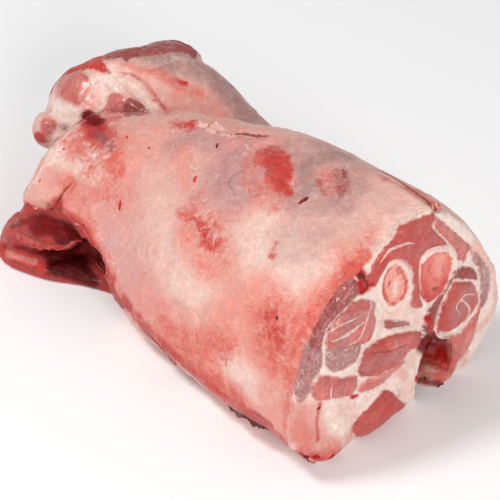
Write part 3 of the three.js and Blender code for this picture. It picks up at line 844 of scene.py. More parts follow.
def points_of(piece):
    """A mesh's points and normals, the points in mm."""
    mesh = piece.data
    place = np.empty(len(mesh.vertices) * 3)
    mesh.vertices.foreach_get("co", place)
    facing = np.empty(len(mesh.vertices) * 3)
    mesh.vertex_normals.foreach_get("vector", facing)
    return place.reshape(-1, 3) / MM, facing.reshape(-1, 3)


def move_points(piece, points):
    """Moves a mesh's points, and keeps them in the solids' box."""
    low, high = (np.array(corner) / MM for corner in CAD_BOX)
    piece.data.vertices.foreach_set("co", (np.clip(points, low, high) * MM).ravel())
    piece.data.update()


def faces_of(piece):
    """The middles in mm and normals of a mesh's faces."""
    polygons = piece.data.polygons
    middle = np.empty(len(polygons) * 3)
    polygons.foreach_get("center", middle)
    normal = np.empty(len(polygons) * 3)
    polygons.foreach_get("normal", normal)
    return middle.reshape(-1, 3) / MM, normal.reshape(-1, 3)


def select_faces(piece, chosen):
    """Selects faces by a mask, ready for edit mode."""
    only(piece)
    bpy.ops.object.mode_set(mode="EDIT")
    bpy.ops.mesh.select_mode(type="FACE")
    bpy.ops.mesh.select_all(action="DESELECT")
    bpy.ops.object.mode_set(mode="OBJECT")
    piece.data.polygons.foreach_set("select", chosen)


def paint(piece, name, values):
    """Stores a value, vector or colour for each point of a mesh."""
    if values.ndim == 1:
        piece.data.attributes.new(name, "FLOAT", "POINT").data.foreach_set("value", values)
    elif name.endswith("tint"):
        full = np.column_stack((values, np.ones(len(values))))
        piece.data.attributes.new(name, "FLOAT_COLOR", "POINT").data.foreach_set("color", full.ravel())
    else:
        piece.data.attributes.new(name, "FLOAT_VECTOR", "POINT").data.foreach_set("vector", values.ravel())


def finish_piece(piece, slot, material, *nodes):
    """Smooths, paints and mounts a piece on the body."""
    only(piece)
    bpy.ops.object.shade_smooth()
    piece.data.materials.clear()
    piece.data.materials.append(material)
    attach(piece, BODY)
    if nodes:
        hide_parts(*nodes)


# ---------------------------------------------------------------- materials

LOBE_SIZE = 2.3  # mm across a lobe of fat
STREAK_STRETCH = 3.6  # how much longer than wide the skin's streaks are
FIBRE_STRETCH = 0.3  # how much the noise is squeezed along the muscle fibres
CREASE_SHADE = (0.4, 0.13, 0.12, 1)  # what a crease's colour is multiplied by


class Nodes:
    """Adds wired nodes to a material or a node group."""

    def __init__(self, tree):
        self.tree = tree

    def wire(self, value, socket):
        if isinstance(value, bpy.types.NodeSocket):
            self.tree.links.new(value, socket)
        else:
            socket.default_value = value

    def add(self, kind, inputs, **settings):
        node = self.tree.nodes.new("ShaderNode" + kind)
        for key, value in settings.items():
            setattr(node, key, value)
        for key, value in inputs.items():
            self.wire(value, node.inputs[key])
        return node

    def math(self, operation, a, b=0.0, clamp=False):
        return self.add("Math", {0: a, 1: b}, operation=operation, use_clamp=clamp).outputs[0]

    def times(self, a, b, clamp=False):
        return self.math("MULTIPLY", a, b, clamp)

    def plus(self, a, b):
        return self.math("ADD", a, b)

    def minus(self, a, b, clamp=False):
        return self.math("SUBTRACT", a, b, clamp)

    def ramp(self, value, low, high, start=0.0, end=1.0):
        """Runs smoothly from start to end as the value goes from low to high."""
        inputs = {"Value": value, "From Min": low, "From Max": high, "To Min": start, "To Max": end}
        return self.add("MapRange", inputs, interpolation_type="SMOOTHSTEP").outputs["Result"]

    def mix(self, factor, a, b, blend="MIX"):
        node = self.add("Mix", {}, data_type="RGBA", blend_type=blend)
        self.wire(factor, node.inputs[0])
        self.wire(a, node.inputs[6])
        self.wire(b, node.inputs[7])
        return node.outputs[2]

    def shaded(self, colour, shade):
        """A colour times a grey value."""
        grey = self.add("CombineColor", {0: shade, 1: shade, 2: shade}).outputs[0]
        return self.mix(1.0, colour, grey, "MULTIPLY")

    def noise(self, vector, size, detail=3.0, rough=0.55, swirl=0.0):
        """Noise with features of a size in mm."""
        inputs = {
            "Vector": vector, "Scale": 1 / (size * MM), "Detail": detail, "Roughness": rough,
            "Distortion": swirl,
        }
        return self.add("TexNoise", inputs).outputs[0]

    def here(self):
        return self.add("TexCoord", {}).outputs["Object"]

    def painted(self, name, output="Fac"):
        return self.add("Attribute", {}, attribute_name=name).outputs[output]

    def group(self, name, **inputs):
        node = self.tree.nodes.new("ShaderNodeGroup")
        node.node_tree = bpy.data.node_groups[name]
        for key, value in inputs.items():
            self.wire(value, node.inputs[key])
        return node

    def bump(self, height, depth, normal=None):
        """A bump whose height of 1 is a depth in mm."""
        inputs = {"Height": height, "Distance": depth * MM, "Strength": 1.0}
        if normal is not None:
            inputs["Normal"] = normal
        return self.add("Bump", inputs).outputs["Normal"]


def new_group(name, inputs, outputs):
    """A shader node group with named sockets; returns its tree, its nodes and its inputs."""
    tree = bpy.data.node_groups.new(name, "ShaderNodeTree")
    for key, kind, default in inputs:
        socket = tree.interface.new_socket(key, in_out="INPUT", socket_type="NodeSocket" + kind)
        if default is not None:
            socket.default_value = default
    for key, kind in outputs:
        tree.interface.new_socket(key, in_out="OUTPUT", socket_type="NodeSocket" + kind)
    source = tree.nodes.new("NodeGroupInput")
    result = tree.nodes.new("NodeGroupOutput")
    return Nodes(tree), source.outputs, result.inputs


def make_groups():
    """The effects that several tissues share."""
    # a thin wandering line where a noise crosses its middle
    nodes, given, result = new_group(
        "Threads",
        (("Vector", "Vector", None), ("Size", "Float", 5.0), ("Width", "Float", 0.03),
         ("Swirl", "Float", 1.0)),
        (("Mask", "Float"),),
    )
    field = nodes.add("TexNoise", {
        "Vector": given["Vector"], "Scale": nodes.math("DIVIDE", 1 / MM, given["Size"]), "Detail": 4.0,
        "Roughness": 0.55, "Distortion": given["Swirl"],
    }).outputs[0]
    away = nodes.math("ABSOLUTE", nodes.minus(field, 0.5))
    nodes.wire(nodes.minus(1.0, nodes.math("DIVIDE", away, given["Width"]), clamp=True), result["Mask"])

    # fat: thick and thin patches, small lobes, pale threads and red threads, and broken-edged blood
    nodes, given, result = new_group(
        "Fat and Skin",
        (("Vector", "Vector", None), ("Colour", "Color", (1, 1, 1, 1)), ("Strength", "Float", 1.0),
         ("Blood", "Float", 0.0), ("Blood Colour", "Color", (1, 0, 0, 1))),
        (("Colour", "Color"), ("Relief", "Float")),
    )
    vector = given["Vector"]
    strength = given["Strength"]
    thick = nodes.ramp(nodes.noise(vector, 8, 5, 0.62, 0.9), 0.46, 0.66)
    thin = nodes.ramp(nodes.noise(vector, 7.5, 6, 0.66, 1.0), 0.49, 0.7)
    scale = 1 / (LOBE_SIZE * MM)
    lobes = nodes.add("TexVoronoi", {"Vector": vector, "Scale": scale}, feature="SMOOTH_F1").outputs[0]
    grain = nodes.noise(vector, 0.9, 4, 0.68)
    pale_web = nodes.group("Threads", Vector=vector, Size=5.5, Width=0.035, Swirl=1.6).outputs[0]
    fine_web = nodes.group("Threads", Vector=vector, Size=2.8, Width=0.06, Swirl=1.4).outputs[0]
    red_web = nodes.group("Threads", Vector=vector, Size=13.0, Width=0.012, Swirl=1.3).outputs[0]
    patchy = nodes.ramp(nodes.noise(vector, 9, 3, 0.5), 0.45, 0.62)
    drawn = {"Vector": vector, "Rotation": (0, 0, AZIMUTH), "Scale": (STREAK_STRETCH, 1, 1)}
    drawn = nodes.add("Mapping", drawn, vector_type="TEXTURE").outputs[0]
    streaks = nodes.noise(drawn, 1.6, 5, 0.62, 0.7)

    colour = nodes.mix(nodes.times(thick, nodes.times(strength, 0.5)), given["Colour"], tone4("cream"))
    colour = nodes.mix(nodes.times(thin, nodes.times(strength, 0.5)), colour, tone4("salmon"))
    web = nodes.times(pale_web, nodes.times(strength, 0.6))
    colour = nodes.mix(web, colour, tone4("white_fat"))
    web = nodes.times(nodes.times(fine_web, patchy), nodes.times(strength, 0.5))
    colour = nodes.mix(web, colour, tone4("fascia"))
    streak = nodes.plus(nodes.noise(vector, 4.2, 5, 0.62, 1.2), nodes.times(pale_web, -0.12))
    cloud = nodes.noise(vector, 8, 5, 0.62, 1.1)
    broken = nodes.times(nodes.minus(nodes.plus(streak, cloud), 1.0), 1.9)
    stained = nodes.ramp(nodes.plus(given["Blood"], broken), 0.05, 1.15)
    stained = nodes.times(stained, nodes.ramp(given["Blood"], 0.0, 0.25))
    colour = nodes.mix(stained, colour, given["Blood Colour"])
    vein = nodes.times(red_web, nodes.plus(nodes.times(given["Blood"], 0.7), 0.24))
    colour = nodes.mix(nodes.times(vein, strength), colour, tone4("red"))
    speckle = nodes.ramp(grain, 0.3, 0.7, 0.975, 1.025)
    shade = nodes.times(speckle, nodes.ramp(streaks, 0.32, 0.68, 0.95, 1.05))
    colour = nodes.shaded(colour, shade)
    nodes.wire(colour, result["Colour"])
    wrinkle = nodes.group("Threads", Vector=vector, Size=4.2, Width=0.11, Swirl=1.8).outputs[0]
    height = nodes.plus(nodes.times(pale_web, 0.5), nodes.times(grain, 0.2))
    height = nodes.plus(height, nodes.times(wrinkle, 0.45))
    height = nodes.plus(height, nodes.times(streaks, 0.4))
    height = nodes.minus(height, nodes.times(lobes, 0.2))
    nodes.wire(nodes.plus(height, nodes.times(thick, 0.7)), result["Relief"])

    # lean: bundles of fibres along the painted grain, pale threads between them, flecks of fat
    nodes, given, result = new_group(
        "Lean Grain",
        (("Grain", "Vector", None), ("Vector", "Vector", None), ("Colour", "Color", (1, 1, 1, 1)),
         ("Flecks", "Float", 0.3), ("Dark", "Float", 0.0)),
        (("Colour", "Color"), ("Relief", "Float")),
    )
    light = nodes.minus(1.0, nodes.times(given["Dark"], 0.9), clamp=True)
    stretched = {0: given["Grain"], 1: (FIBRE_STRETCH, 1.0, 1.0)}
    stretched = nodes.add("VectorMath", stretched, operation="MULTIPLY").outputs[0]
    bundles = nodes.noise(stretched, 1.7, 5, 0.62, 0.5)
    fine = nodes.noise(given["Vector"], 0.6, 3, 0.65)
    dark_cloud = nodes.ramp(nodes.noise(given["Vector"], 6, 4, 0.55, 0.6), 0.47, 0.68)
    pale_cloud = nodes.ramp(nodes.noise(given["Vector"], 4.5, 5, 0.6, 1.0), 0.5, 0.7)
    fibres = nodes.plus(nodes.times(bundles, 0.65), nodes.times(fine, 0.35))
    shade = nodes.ramp(fibres, 0.32, 0.68, 0.84, 1.15)
    colour = nodes.mix(nodes.times(nodes.times(dark_cloud, 0.45), light), given["Colour"], tone4("deep"))
    colour = nodes.mix(nodes.times(nodes.times(pale_cloud, 0.3), light), colour, tone4("rose"))
    colour = nodes.shaded(colour, shade)
    film = nodes.ramp(nodes.noise(given["Vector"], 8, 5, 0.62, 0.9), 0.52, 0.74)
    colour = nodes.mix(nodes.times(nodes.times(film, 0.34), light), colour, tone4("frosted"))
    septa = nodes.group("Threads", Vector=stretched, Size=3.4, Width=0.03, Swirl=1.2).outputs[0]
    where = nodes.ramp(nodes.noise(given["Vector"], 5, 3), 0.47, 0.6)
    amount = nodes.plus(nodes.times(given["Flecks"], 0.7), 0.12)
    amount = nodes.times(amount, light)
    colour = nodes.mix(nodes.times(nodes.times(septa, where), amount), colour, tone4("fascia"))
    spots = nodes.noise(stretched, 1.2, 4, 0.72, 0.6)
    limit = nodes.minus(0.72, nodes.times(given["Flecks"], 0.17))
    fleck = nodes.times(nodes.ramp(nodes.minus(spots, limit), 0.0, 0.09, 0.0, 0.6), light)
    colour = nodes.mix(fleck, colour, tone4("fascia"))
    nodes.wire(colour, result["Colour"])
    height = nodes.plus(nodes.times(bundles, 1.0), nodes.times(fine, 0.5))
    nodes.wire(nodes.plus(height, nodes.times(septa, 0.25)), result["Relief"])

    # a thin line from its painted side distance and strength
    nodes, given, result = new_group(
        "Painted Line",
        (("Side", "Float", 9.0), ("Strength", "Float", 0.0), ("Vector", "Vector", None)),
        (("Mask", "Float"),),
    )
    wander = nodes.times(nodes.minus(nodes.noise(given["Vector"], 1.6, 4, 0.65), 0.5), 2.6)
    width = nodes.plus(nodes.math("ABSOLUTE", given["Side"]), wander)
    line = nodes.ramp(width, 0.55, 1.3, 1.0, 0.0)
    nodes.wire(nodes.times(line, given["Strength"], clamp=True), result["Mask"])


def flesh_material():
    """Skin, fat, lean meat and blood, told apart by what is painted on the mesh."""
    material = bpy.data.materials.new("flesh")
    material.use_nodes = True
    nodes = Nodes(material.node_tree)
    here = nodes.here()
    fat = nodes.group("Fat and Skin", **{
        "Vector": here, "Colour": nodes.painted("fat_tint", "Color"), "Strength": nodes.painted("mottle"),
        "Blood": nodes.painted("blood"), "Blood Colour": nodes.painted("blood_tint", "Color"),
    })
    lean = nodes.group(
        "Lean Grain", Grain=nodes.painted("grain", "Vector"), Vector=here, Dark=nodes.painted("dark"),
        Colour=nodes.painted("lean_tint", "Color"), Flecks=nodes.painted("flecks"),
    )
    edge = nodes.times(nodes.minus(nodes.noise(here, 2.4, 5, 0.6), 0.5), 3.0)
    lean_mask = nodes.ramp(nodes.plus(nodes.painted("lean"), edge), -0.6, 0.7)
    colour = nodes.mix(lean_mask, fat.outputs["Colour"], lean.outputs["Colour"])
    seam, crease = (
        nodes.group(
            "Painted Line", Side=nodes.painted(line + "_side"), Strength=nodes.painted(line + "_strength"),
            Vector=here,
        ).outputs["Mask"]
        for line in ("seam", "crease")
    )
    colour = nodes.mix(nodes.times(seam, 0.68), colour, tone4("fascia"))
    # painted shade along the creases: their colour is multiplied by CREASE_SHADE
    colour = nodes.mix(crease, colour, nodes.mix(1.0, colour, CREASE_SHADE, "MULTIPLY"))

    shader = material.node_tree.nodes["Principled BSDF"]
    nodes.wire(colour, shader.inputs["Base Color"])
    wet = nodes.painted("wet")
    dry = nodes.ramp(lean_mask, 0, 1, 0.4, 0.34)
    patchy = nodes.ramp(nodes.noise(here, 3, 3), 0.3, 0.7, -0.08, 0.1)
    rough = nodes.minus(nodes.plus(dry, patchy), nodes.times(wet, 0.2))
    nodes.wire(rough, shader.inputs["Roughness"])
    damp = nodes.ramp(nodes.painted("dark"), 0, 1, 0.16, 0.04)
    nodes.wire(nodes.plus(nodes.times(wet, 0.3), damp), shader.inputs["Coat Weight"])
    shader.inputs["Coat Roughness"].default_value = 0.14
    skin_height = nodes.times(fat.outputs["Relief"], 0.5)
    lean_height = nodes.times(lean.outputs["Relief"], 0.9)
    height = nodes.mix(lean_mask, skin_height, lean_height)
    height = nodes.minus(height, crease)
    nodes.wire(nodes.bump(height, 0.55), shader.inputs["Normal"])
    nodes.wire(nodes.ramp(nodes.painted("dark"), 0, 1, 0.5, 0.15), shader.inputs["Specular IOR Level"])
    shader.inputs["Subsurface Weight"].default_value = 0.2
    shader.inputs["Subsurface Radius"].default_value = (1.0, 0.35, 0.2)
    shader.inputs["Subsurface Scale"].default_value = 1.8 * MM
    return material


def tinted_material(name, roughness, coat, depth, size):
    """Moist tissue in the colours painted on a mesh, with grain of a size and depth in mm."""
    material = bpy.data.materials.new(name)
    material.use_nodes = True
    nodes = Nodes(material.node_tree)
    here = nodes.here()
    grain = nodes.noise(here, size, 4, 0.7)
    shade = nodes.ramp(grain, 0.3, 0.7, 0.8, 1.14)
    tint = nodes.painted("tint", "Color")
    colour = nodes.shaded(tint, shade)
    shader = material.node_tree.nodes["Principled BSDF"]
    nodes.wire(colour, shader.inputs["Base Color"])
    nodes.wire(nodes.ramp(grain, 0.3, 0.7, roughness - 0.08, roughness + 0.08), shader.inputs["Roughness"])
    shader.inputs["Coat Weight"].default_value = coat
    shader.inputs["Coat Roughness"].default_value = 0.12
    nodes.wire(nodes.bump(grain, depth), shader.inputs["Normal"])
    shader.inputs["Subsurface Weight"].default_value = 0.15
    shader.inputs["Subsurface Radius"].default_value = (1.0, 0.3, 0.2)
    shader.inputs["Subsurface Scale"].default_value = 1.5 * MM
    return material


# ---------------------------------------------------------------- the stage

FLOOR_SIZE = 6  # m
ROOM_LIGHT = 0.44
# each light's name, its place in m, its size in m and its power in W
LIGHTS = (("key", (-0.5, -0.7, 1.5), 0.4, 13.2), ("fill", (1.3, -0.6, 0.7), 0.5, 10.5))


class LAMBNECK_OT_stage(bpy.types.Operator):
    """Makes the camera, the pale floor and the soft studio light"""

    bl_idname = "lamb_neck.stage"
    bl_label = "Stage"

    def execute(self, context):
        scene = context.scene
        data = bpy.data.cameras.new("camera")
        data.sensor_width = SENSOR_WIDTH
        data.lens = sizes().camera_lens
        camera = bpy.data.objects.new("camera", data)
        camera.location = EYE * MM
        camera.rotation_euler = Vector(-BACK).to_track_quat("-Z", "Y").to_euler()
        scene.collection.objects.link(camera)
        scene.camera = camera

        bpy.ops.object.select_all(action="DESELECT")
        bpy.ops.mesh.primitive_plane_add(size=FLOOR_SIZE)
        floor = context.object
        floor.name = "floor"
        floor.data.materials.append(floor_material())

        world = bpy.data.worlds.new("studio")
        world.use_nodes = True
        background = world.node_tree.nodes["Background"]
        background.inputs["Color"].default_value = (1, 1, 1, 1)
        background.inputs["Strength"].default_value = ROOM_LIGHT
        scene.world = world
        for light in LIGHTS:
            area_light(*light)
        scene.view_settings.view_transform = "Standard"
        return {"FINISHED"}


def area_light(name, place, size, power):
    """A round soft light that faces the part."""
    data = bpy.data.lights.new(name, "AREA")
    data.shape = "DISK"
    data.size = size
    data.energy = power
    light = bpy.data.objects.new(name, data)
    light.location = place
    aim = Vector(TARGET * MM) - Vector(place)
    light.rotation_euler = aim.to_track_quat("-Z", "Y").to_euler()
    bpy.context.scene.collection.objects.link(light)


def floor_material():
    material = bpy.data.materials.new("pale floor")
    material.use_nodes = True
    shader = material.node_tree.nodes["Principled BSDF"]
    shader.inputs["Base Color"].default_value = (0.97, 0.97, 0.97, 1)
    shader.inputs["Roughness"].default_value = 0.9
    return material


# ---------------------------------------------------------------- meat and skin

FACE_DEPTH = 7.0  # mm behind the sawn plane where its own piece ends
FACE_TILT = 0.3  # least part of a face normal along +X there
SINK = 1.8  # mm that the coarse surface drops under the sawn face's piece
SHEET = 1.0  # mm, thickness of that piece
SOCKET = 2.6  # mm that the meat drops under a bone's head

# The open flesh of the mouth as photo pixels, and the hollows' middles and half sizes in mm.
MOUTH_OUTLINE = (
    (24, 201), (34, 206), (46, 209), (53, 204), (59, 199), (64, 209), (74, 218), (85, 226), (91, 238),
    (95, 250), (100, 264), (109, 280), (119, 296), (119, 310), (-30, 310), (-30, 214), (12, 208))
REAR_OUTLINE = (
    (20, 146), (48, 150), (60, 138), (78, 122), (92, 116), (112, 118), (150, 116), (143, 105), (131, 94),
    (120, 83), (111, 74), (103, 66), (101, 59), (112, 52), (100, 40), (40, 60), (15, 120))
FAR_LUMP_OUTLINE = ((124, 62), (132, 58), (150, 56), (166, 54), (184, 53), (196, 58), (196, 20), (120, 25))
MOUTH_HOLLOWS = (
    ((-49.4, -76.4, 18), (50, 25, 48)), ((-35.4, -59.4, 14), (25, 30, 26)), ((-63.4, -55.4, 10), (32, 22, 9)))
NOTCH_HOLLOW = ((128.6, 21.6, 7), (22, 12, 27))
LOBE_CUT_HEADING = math.radians(130.6)
LOBE_CUT_REACH = 94.4  # mm from the origin
END_CAP_X = -66.0  # mm, where the front half's far end begins
BEHIND_X = -20.0  # mm, the front end of where the rear half's free end shows
FACE_REACH = 9.0  # mm behind the sawn plane that the face's marks reach
OUTSIDE = -30.0  # mm, the depth of points that lie well outside a patch


def patch_depth(pixels, outline, allowed):
    """How deep in mm the allowed points lie inside an outline of photo pixels; the others are outside."""
    depth = np.full(len(pixels), OUTSIDE)
    depth[allowed] = outline_depth(pixels[allowed], rounded(outline, closed=True)) * PIXEL
    return depth


def hollow_distance(points, hollow):
    """About how far points are outside a round hollow, in mm."""
    middle, half = (np.array(side, float) for side in hollow)
    return (np.linalg.norm((points - middle) / half, axis=1) - 1) * half.min()


def near_line(points, line, reach):
    """Which points are in reach of a line's box."""
    return ((points > line.min(0) - reach) & (points < line.max(0) + reach)).all(1)


def cover_of(mark, line, points, wander, core):
    """How strongly a mark covers points: in full within a core share of its radius from its line."""
    near, _, _ = line_distance(points, line)
    return mark.amount * smoothstep(mark.radius + mark.soft, mark.radius * core, near + wander * mark.soft)


def covers(marks, points, surface, wander, core):
    """Each mark with the points that it reaches and how strongly it covers them."""
    for mark in marks.values():
        line = rounded(surface.path(mark.path))
        close = near_line(points, line, (mark.radius + mark.soft) * 1.5)
        yield mark, close, cover_of(mark, line, points[close], wander[close] / 8, core)


def stain(tints, points, surface, marks, wander):
    """Blends each mark's colour into the points' colours."""
    for mark, close, cover in covers(marks, points, surface, wander, 0.6):
        for tint in tints:
            tint[close] += cover[:, None] * (tone(mark.colour) - tint[close])


def blood_fields(points, surface, marks, wander):
    """How bloody each point of skin is, and the blood's colour there."""
    amount = np.zeros(len(points))
    tint = np.tile(tone("coral"), (len(points), 1))
    for mark, close, cover in covers(marks, points, surface, wander, 0.5):
        share = np.maximum(cover / np.maximum(cover + amount[close], 1e-6), np.minimum(cover, 1))
        tint[close] += share[:, None] * (tone(mark.colour) - tint[close])
        amount[close] = np.maximum(amount[close], cover)
    return amount, tint


def line_fields(points, surface, lines, reach):
    """For each point the side distance to the nearest line in half widths, and the line's strength there."""
    side = np.full(len(points), 9.0)
    strength = np.zeros(len(points))
    best = np.full(len(points), np.inf)
    for mark in lines.values():
        line = rounded(surface.path(mark.path))
        close = near_line(points, line, reach + mark.width + 4)
        near, across, along = line_distance(points[close], line)
        taper = 0.4 + 0.6 * smoothstep(0, 0.25, 0.5 - np.abs(along - 0.5))
        amount = getattr(mark, "amount", 1.0) * smoothstep(reach + mark.width, mark.width * 0.6, near)
        closer = near < best[close]
        index = np.flatnonzero(close)[closer]
        best[index] = near[closer]
        side[index] = (across / (mark.width / 2 * taper))[closer]
        strength[index] = amount[closer]
    return np.clip(side, -9, 9), strength


def muscle_fields(points, pixels, allowed, muscles, groove, flesh):
    """Marks the muscles on the points that may show them, each with a groove of a depth in mm round it."""
    best = np.full(len(points), -np.inf)
    for muscle in muscles.values():
        outline = rounded(muscle.outline, closed=True)
        low, high = outline.min(0) - 12, outline.max(0) + 12
        close = np.flatnonzero(allowed & (pixels > low).all(1) & (pixels < high).all(1))
        depth = outline_depth(pixels[close], outline) * PIXEL
        flesh["lean"][close] = np.maximum(flesh["lean"][close], depth)
        nearest = (depth > best[close]) & (depth > -5)
        index, depth = close[nearest], depth[nearest]
        best[index] = depth
        flesh["tint"][index] = tone(muscle.colour)
        flesh["flecks"][index] = muscle.flecks
        turn = math.radians(muscle.angle)
        fibre = RIGHT * math.cos(turn) + UP * math.sin(turn)
        axes = np.stack((fibre, np.cross(BACK, fibre), BACK))
        flesh["grain"][index] = points[index] @ axes.T
        pillow = 1 - (1 - np.clip(depth / 4.5, 0, 1)) ** 2
        flesh["swell"][index] = 1.7 * muscle.rise * pillow - groove * np.exp(-((depth / 0.8) ** 2))


def random_muscles(points, allowed, extent, size, seed, flesh):
    """Fills a cut surface that the photo doesn't show with cut muscles of a size in mm."""
    index = np.flatnonzero(allowed)
    bent = points[index] + 3 * np.stack([noise(points[index], 9, seed + k) for k in (4, 5, 6)], -1)
    border, pick = cells(bent, size, seed)
    depth = np.minimum(extent[index], border - 0.9)
    flesh["lean"][index] = np.maximum(flesh["lean"][index], depth)
    for low, colour in ((0, "muscle"), (0.35, "rose"), (0.65, "deep"), (0.85, "wall")):
        flesh["tint"][index[pick >= low]] = tone(colour)
    flesh["swell"][index] = 0.9 * (1 - (1 - np.clip(depth / 3.5, 0, 1)) ** 2)


def open_flesh(extent, colour, flesh, flecks=0.3):
    """Marks points as bare flesh of a colour, as deep as their extent in mm."""
    inside = extent > -1.5
    flesh["tint"][inside] = tone(colour)
    flesh["flecks"][inside] = flecks
    flesh["lean"] = np.maximum(flesh["lean"], extent)


def flesh_fields(points, normals, pixels, shown):
    """Where the bare lean meat is, its colours, its grain and how far it swells."""
    count = len(points)
    flesh = {
        "lean": np.full(count, OUTSIDE), "tint": np.tile(tone("muscle"), (count, 1)),
        "grain": points.copy(), "flecks": np.full(count, 0.3), "swell": np.zeros(count),
    }
    outward = np.array((math.cos(LOBE_CUT_HEADING), math.sin(LOBE_CUT_HEADING), 0))
    cut = 1.4 - (LOBE_CUT_REACH - points @ outward) + 0.8 * noise(points, 6, 21)
    random_muscles(points, cut > -3, cut, 21, 30, flesh)
    cap = np.minimum(END_CAP_X - points[:, 0], (-normals[:, 0] - 0.25) * 9)
    cap[shown | (points[:, 1] > 14)] = OUTSIDE
    random_muscles(points, cap > -3, cap, 17, 60, flesh)

    open_flesh(patch_depth(pixels, MOUTH_OUTLINE, shown), "wall", flesh)
    # the mouth's hollows and the notch take the hollow colour: dark meat with painted shade
    hollow = 1.2 - np.min([np.abs(hollow_distance(points, each)) for each in MOUTH_HOLLOWS], axis=0)
    hollow[shown | (points[:, 2] > 62) | (points[:, 0] > -8) | (points[:, 1] < -72)] = OUTSIDE
    open_flesh(hollow, "hollow", flesh, 0.1)
    notch = 1.3 - np.abs(hollow_distance(points, NOTCH_HOLLOW))
    open_flesh(notch, "hollow", flesh, 0.1)
    behind = shown & (points[:, 0] < BEHIND_X)
    open_flesh(np.minimum(patch_depth(pixels, FAR_LUMP_OUTLINE, behind), 6), "deep", flesh, 0.8)

    face = points[:, 0] > SAWN_X - FACE_REACH
    muscle_fields(points, pixels, face, FACE_MUSCLES, 0.5, flesh)
    muscle_fields(points, pixels, behind & (pixels[:, 1] < 150), REAR_MUSCLES, 0.0, flesh)
    return flesh


def likeness(tint, colour):
    """1 where a tint is close to a named colour, 0 where it is far from it."""
    return smoothstep(0.25, 0.05, np.linalg.norm(tint - tone(colour), axis=1))


def paint_flesh(piece, surface, fine):
    """Paints every field that the flesh material reads, and returns how far each point swells."""
    points, normals = points_of(piece)
    pixels = project(points)
    shown = surface.shown(points, normals)
    wander = 2.4 * noise(points, 9, 1) + 1.6 * noise(points, 4, 2)
    slow = smoothstep(-0.5, 0.6, noise(points, 34, 8))
    fat = tone("pale") + slow[:, None] * (tone("pink") - tone("pale"))
    warm = 0.6 * smoothstep(0.1, 0.8, noise(points, 26, 9))
    fat += warm[:, None] * (tone("salmon") - fat)
    stain((fat,), points, surface, SKIN_TONES, wander)
    on_face = smoothstep(SAWN_X - 3.4, SAWN_X - 2.2, points[:, 0] + 0.6 * noise(points, 3, 3))
    fat += on_face[:, None] * (tone("white_fat") - fat)
    rear = patch_depth(pixels, REAR_OUTLINE, shown & (points[:, 0] < BEHIND_X))
    patchy = smoothstep(-0.1, 0.7, noise(points, 7, 12))
    cut_fat = tone("pale") + patchy[:, None] * (tone("salmon") - tone("pale"))
    fat += smoothstep(-0.5, 0.5, rear)[:, None] * (cut_fat - fat)
    # the blood marks also lay painted shade along the lower edge
    blood, blood_tint = blood_fields(points, surface, BLOOD_MARKS, wander)
    blood *= 1 - on_face

    flesh = flesh_fields(points, normals, pixels, shown)
    stain((fat, flesh["tint"]), points, surface, CUT_STAINS, 0.5 * wander)
    reach = 1.0 if fine else 2.6
    for name, lines in (("seam", WHITE_SEAMS), ("crease", CREASES)):
        side, strength = line_fields(points, surface, lines, reach)
        paint(piece, name + "_side", side)
        paint(piece, name + "_strength", strength)
    dark = likeness(blood_tint, "clot") * smoothstep(0.3, 0.9, blood)
    for colour in ("hollow", "clot", "blood"):
        for tint in (fat, flesh["tint"]):
            dark = np.maximum(dark, likeness(tint, colour))
    fields = {
        "fat_tint": fat, "lean_tint": flesh["tint"], "blood_tint": blood_tint, "blood": blood, "dark": dark,
        "lean": flesh["lean"], "grain": flesh["grain"] * MM, "flecks": flesh["flecks"],
        "mottle": (1 - 0.85 * dark) * (1 - 0.7 * on_face),
        "wet": np.clip(0.6 * (flesh["lean"] > 0) + 0.4 * blood - 0.6 * dark, 0, 1),
    }
    for name, values in fields.items():
        paint(piece, name, values)
    return flesh["swell"]


def shape_skin(piece, surface):
    """Presses the folds and the slow unevenness of the skin into the base form."""
    points, normals = points_of(piece)
    ripple = sizes().ripple / MM
    lift = ripple * (noise(points, 13, 4) + 0.5 * noise(points, 6, 5))
    lift += ripple * (0.9 * ridges(points, 9, 40) ** 2 + 0.5 * ridges(points, 5, 50) ** 2 - 0.5)
    for fold in FOLDS.values():
        line = rounded(surface.path(fold.path))
        close = near_line(points, line, 3 * fold.width)
        near, _, _ = line_distance(points[close], line)
        lift[close] += fold.height * np.exp(-((near / fold.width) ** 2))
    lift *= smoothstep(0, 4, points[:, 2])
    move_points(piece, points + normals * lift[:, None])


def split_face(base):
    """A finer copy of the sawn face as its own piece; the base drops a little under it."""
    middles, facing = faces_of(base)
    chosen = (middles[:, 0] > SAWN_X - FACE_DEPTH) & (facing[:, 0] > FACE_TILT)
    face = base.copy()
    face.data = base.data.copy()
    face.name = face.data.name = "sawn_face"
    bpy.context.scene.collection.objects.link(face)
    select_faces(face, ~chosen)
    bpy.ops.object.mode_set(mode="EDIT")
    bpy.ops.mesh.delete(type="FACE")
    bpy.ops.mesh.select_all(action="SELECT")
    bpy.ops.mesh.subdivide(number_cuts=1, smoothness=1.0)
    bpy.ops.object.mode_set(mode="OBJECT")

    points, normals = points_of(base)
    sides = np.array([len(polygon.vertices) for polygon in base.data.polygons])
    corners = np.empty(sides.sum(), np.int32)
    base.data.polygons.foreach_get("vertices", corners)
    inside = np.bincount(corners, np.repeat(chosen, sides), len(points))
    total = np.bincount(corners, minlength=len(points))
    under = (inside == total) & (inside > 0)
    move_points(base, points - SINK * normals * under[:, None])
    return face


def socket_depth(points, pixels):
    """How far each point drops, to make room for the bone heads."""
    drop = np.zeros(len(points))
    face = np.flatnonzero(points[:, 0] > SAWN_X - FACE_REACH)
    for bone in BONES.values():
        depth = outline_depth(pixels[face], rounded(bone["rim"], closed=True)) * PIXEL
        drop[face] = np.maximum(drop[face], SOCKET * smoothstep(-0.2, 1.0, depth))
    return drop


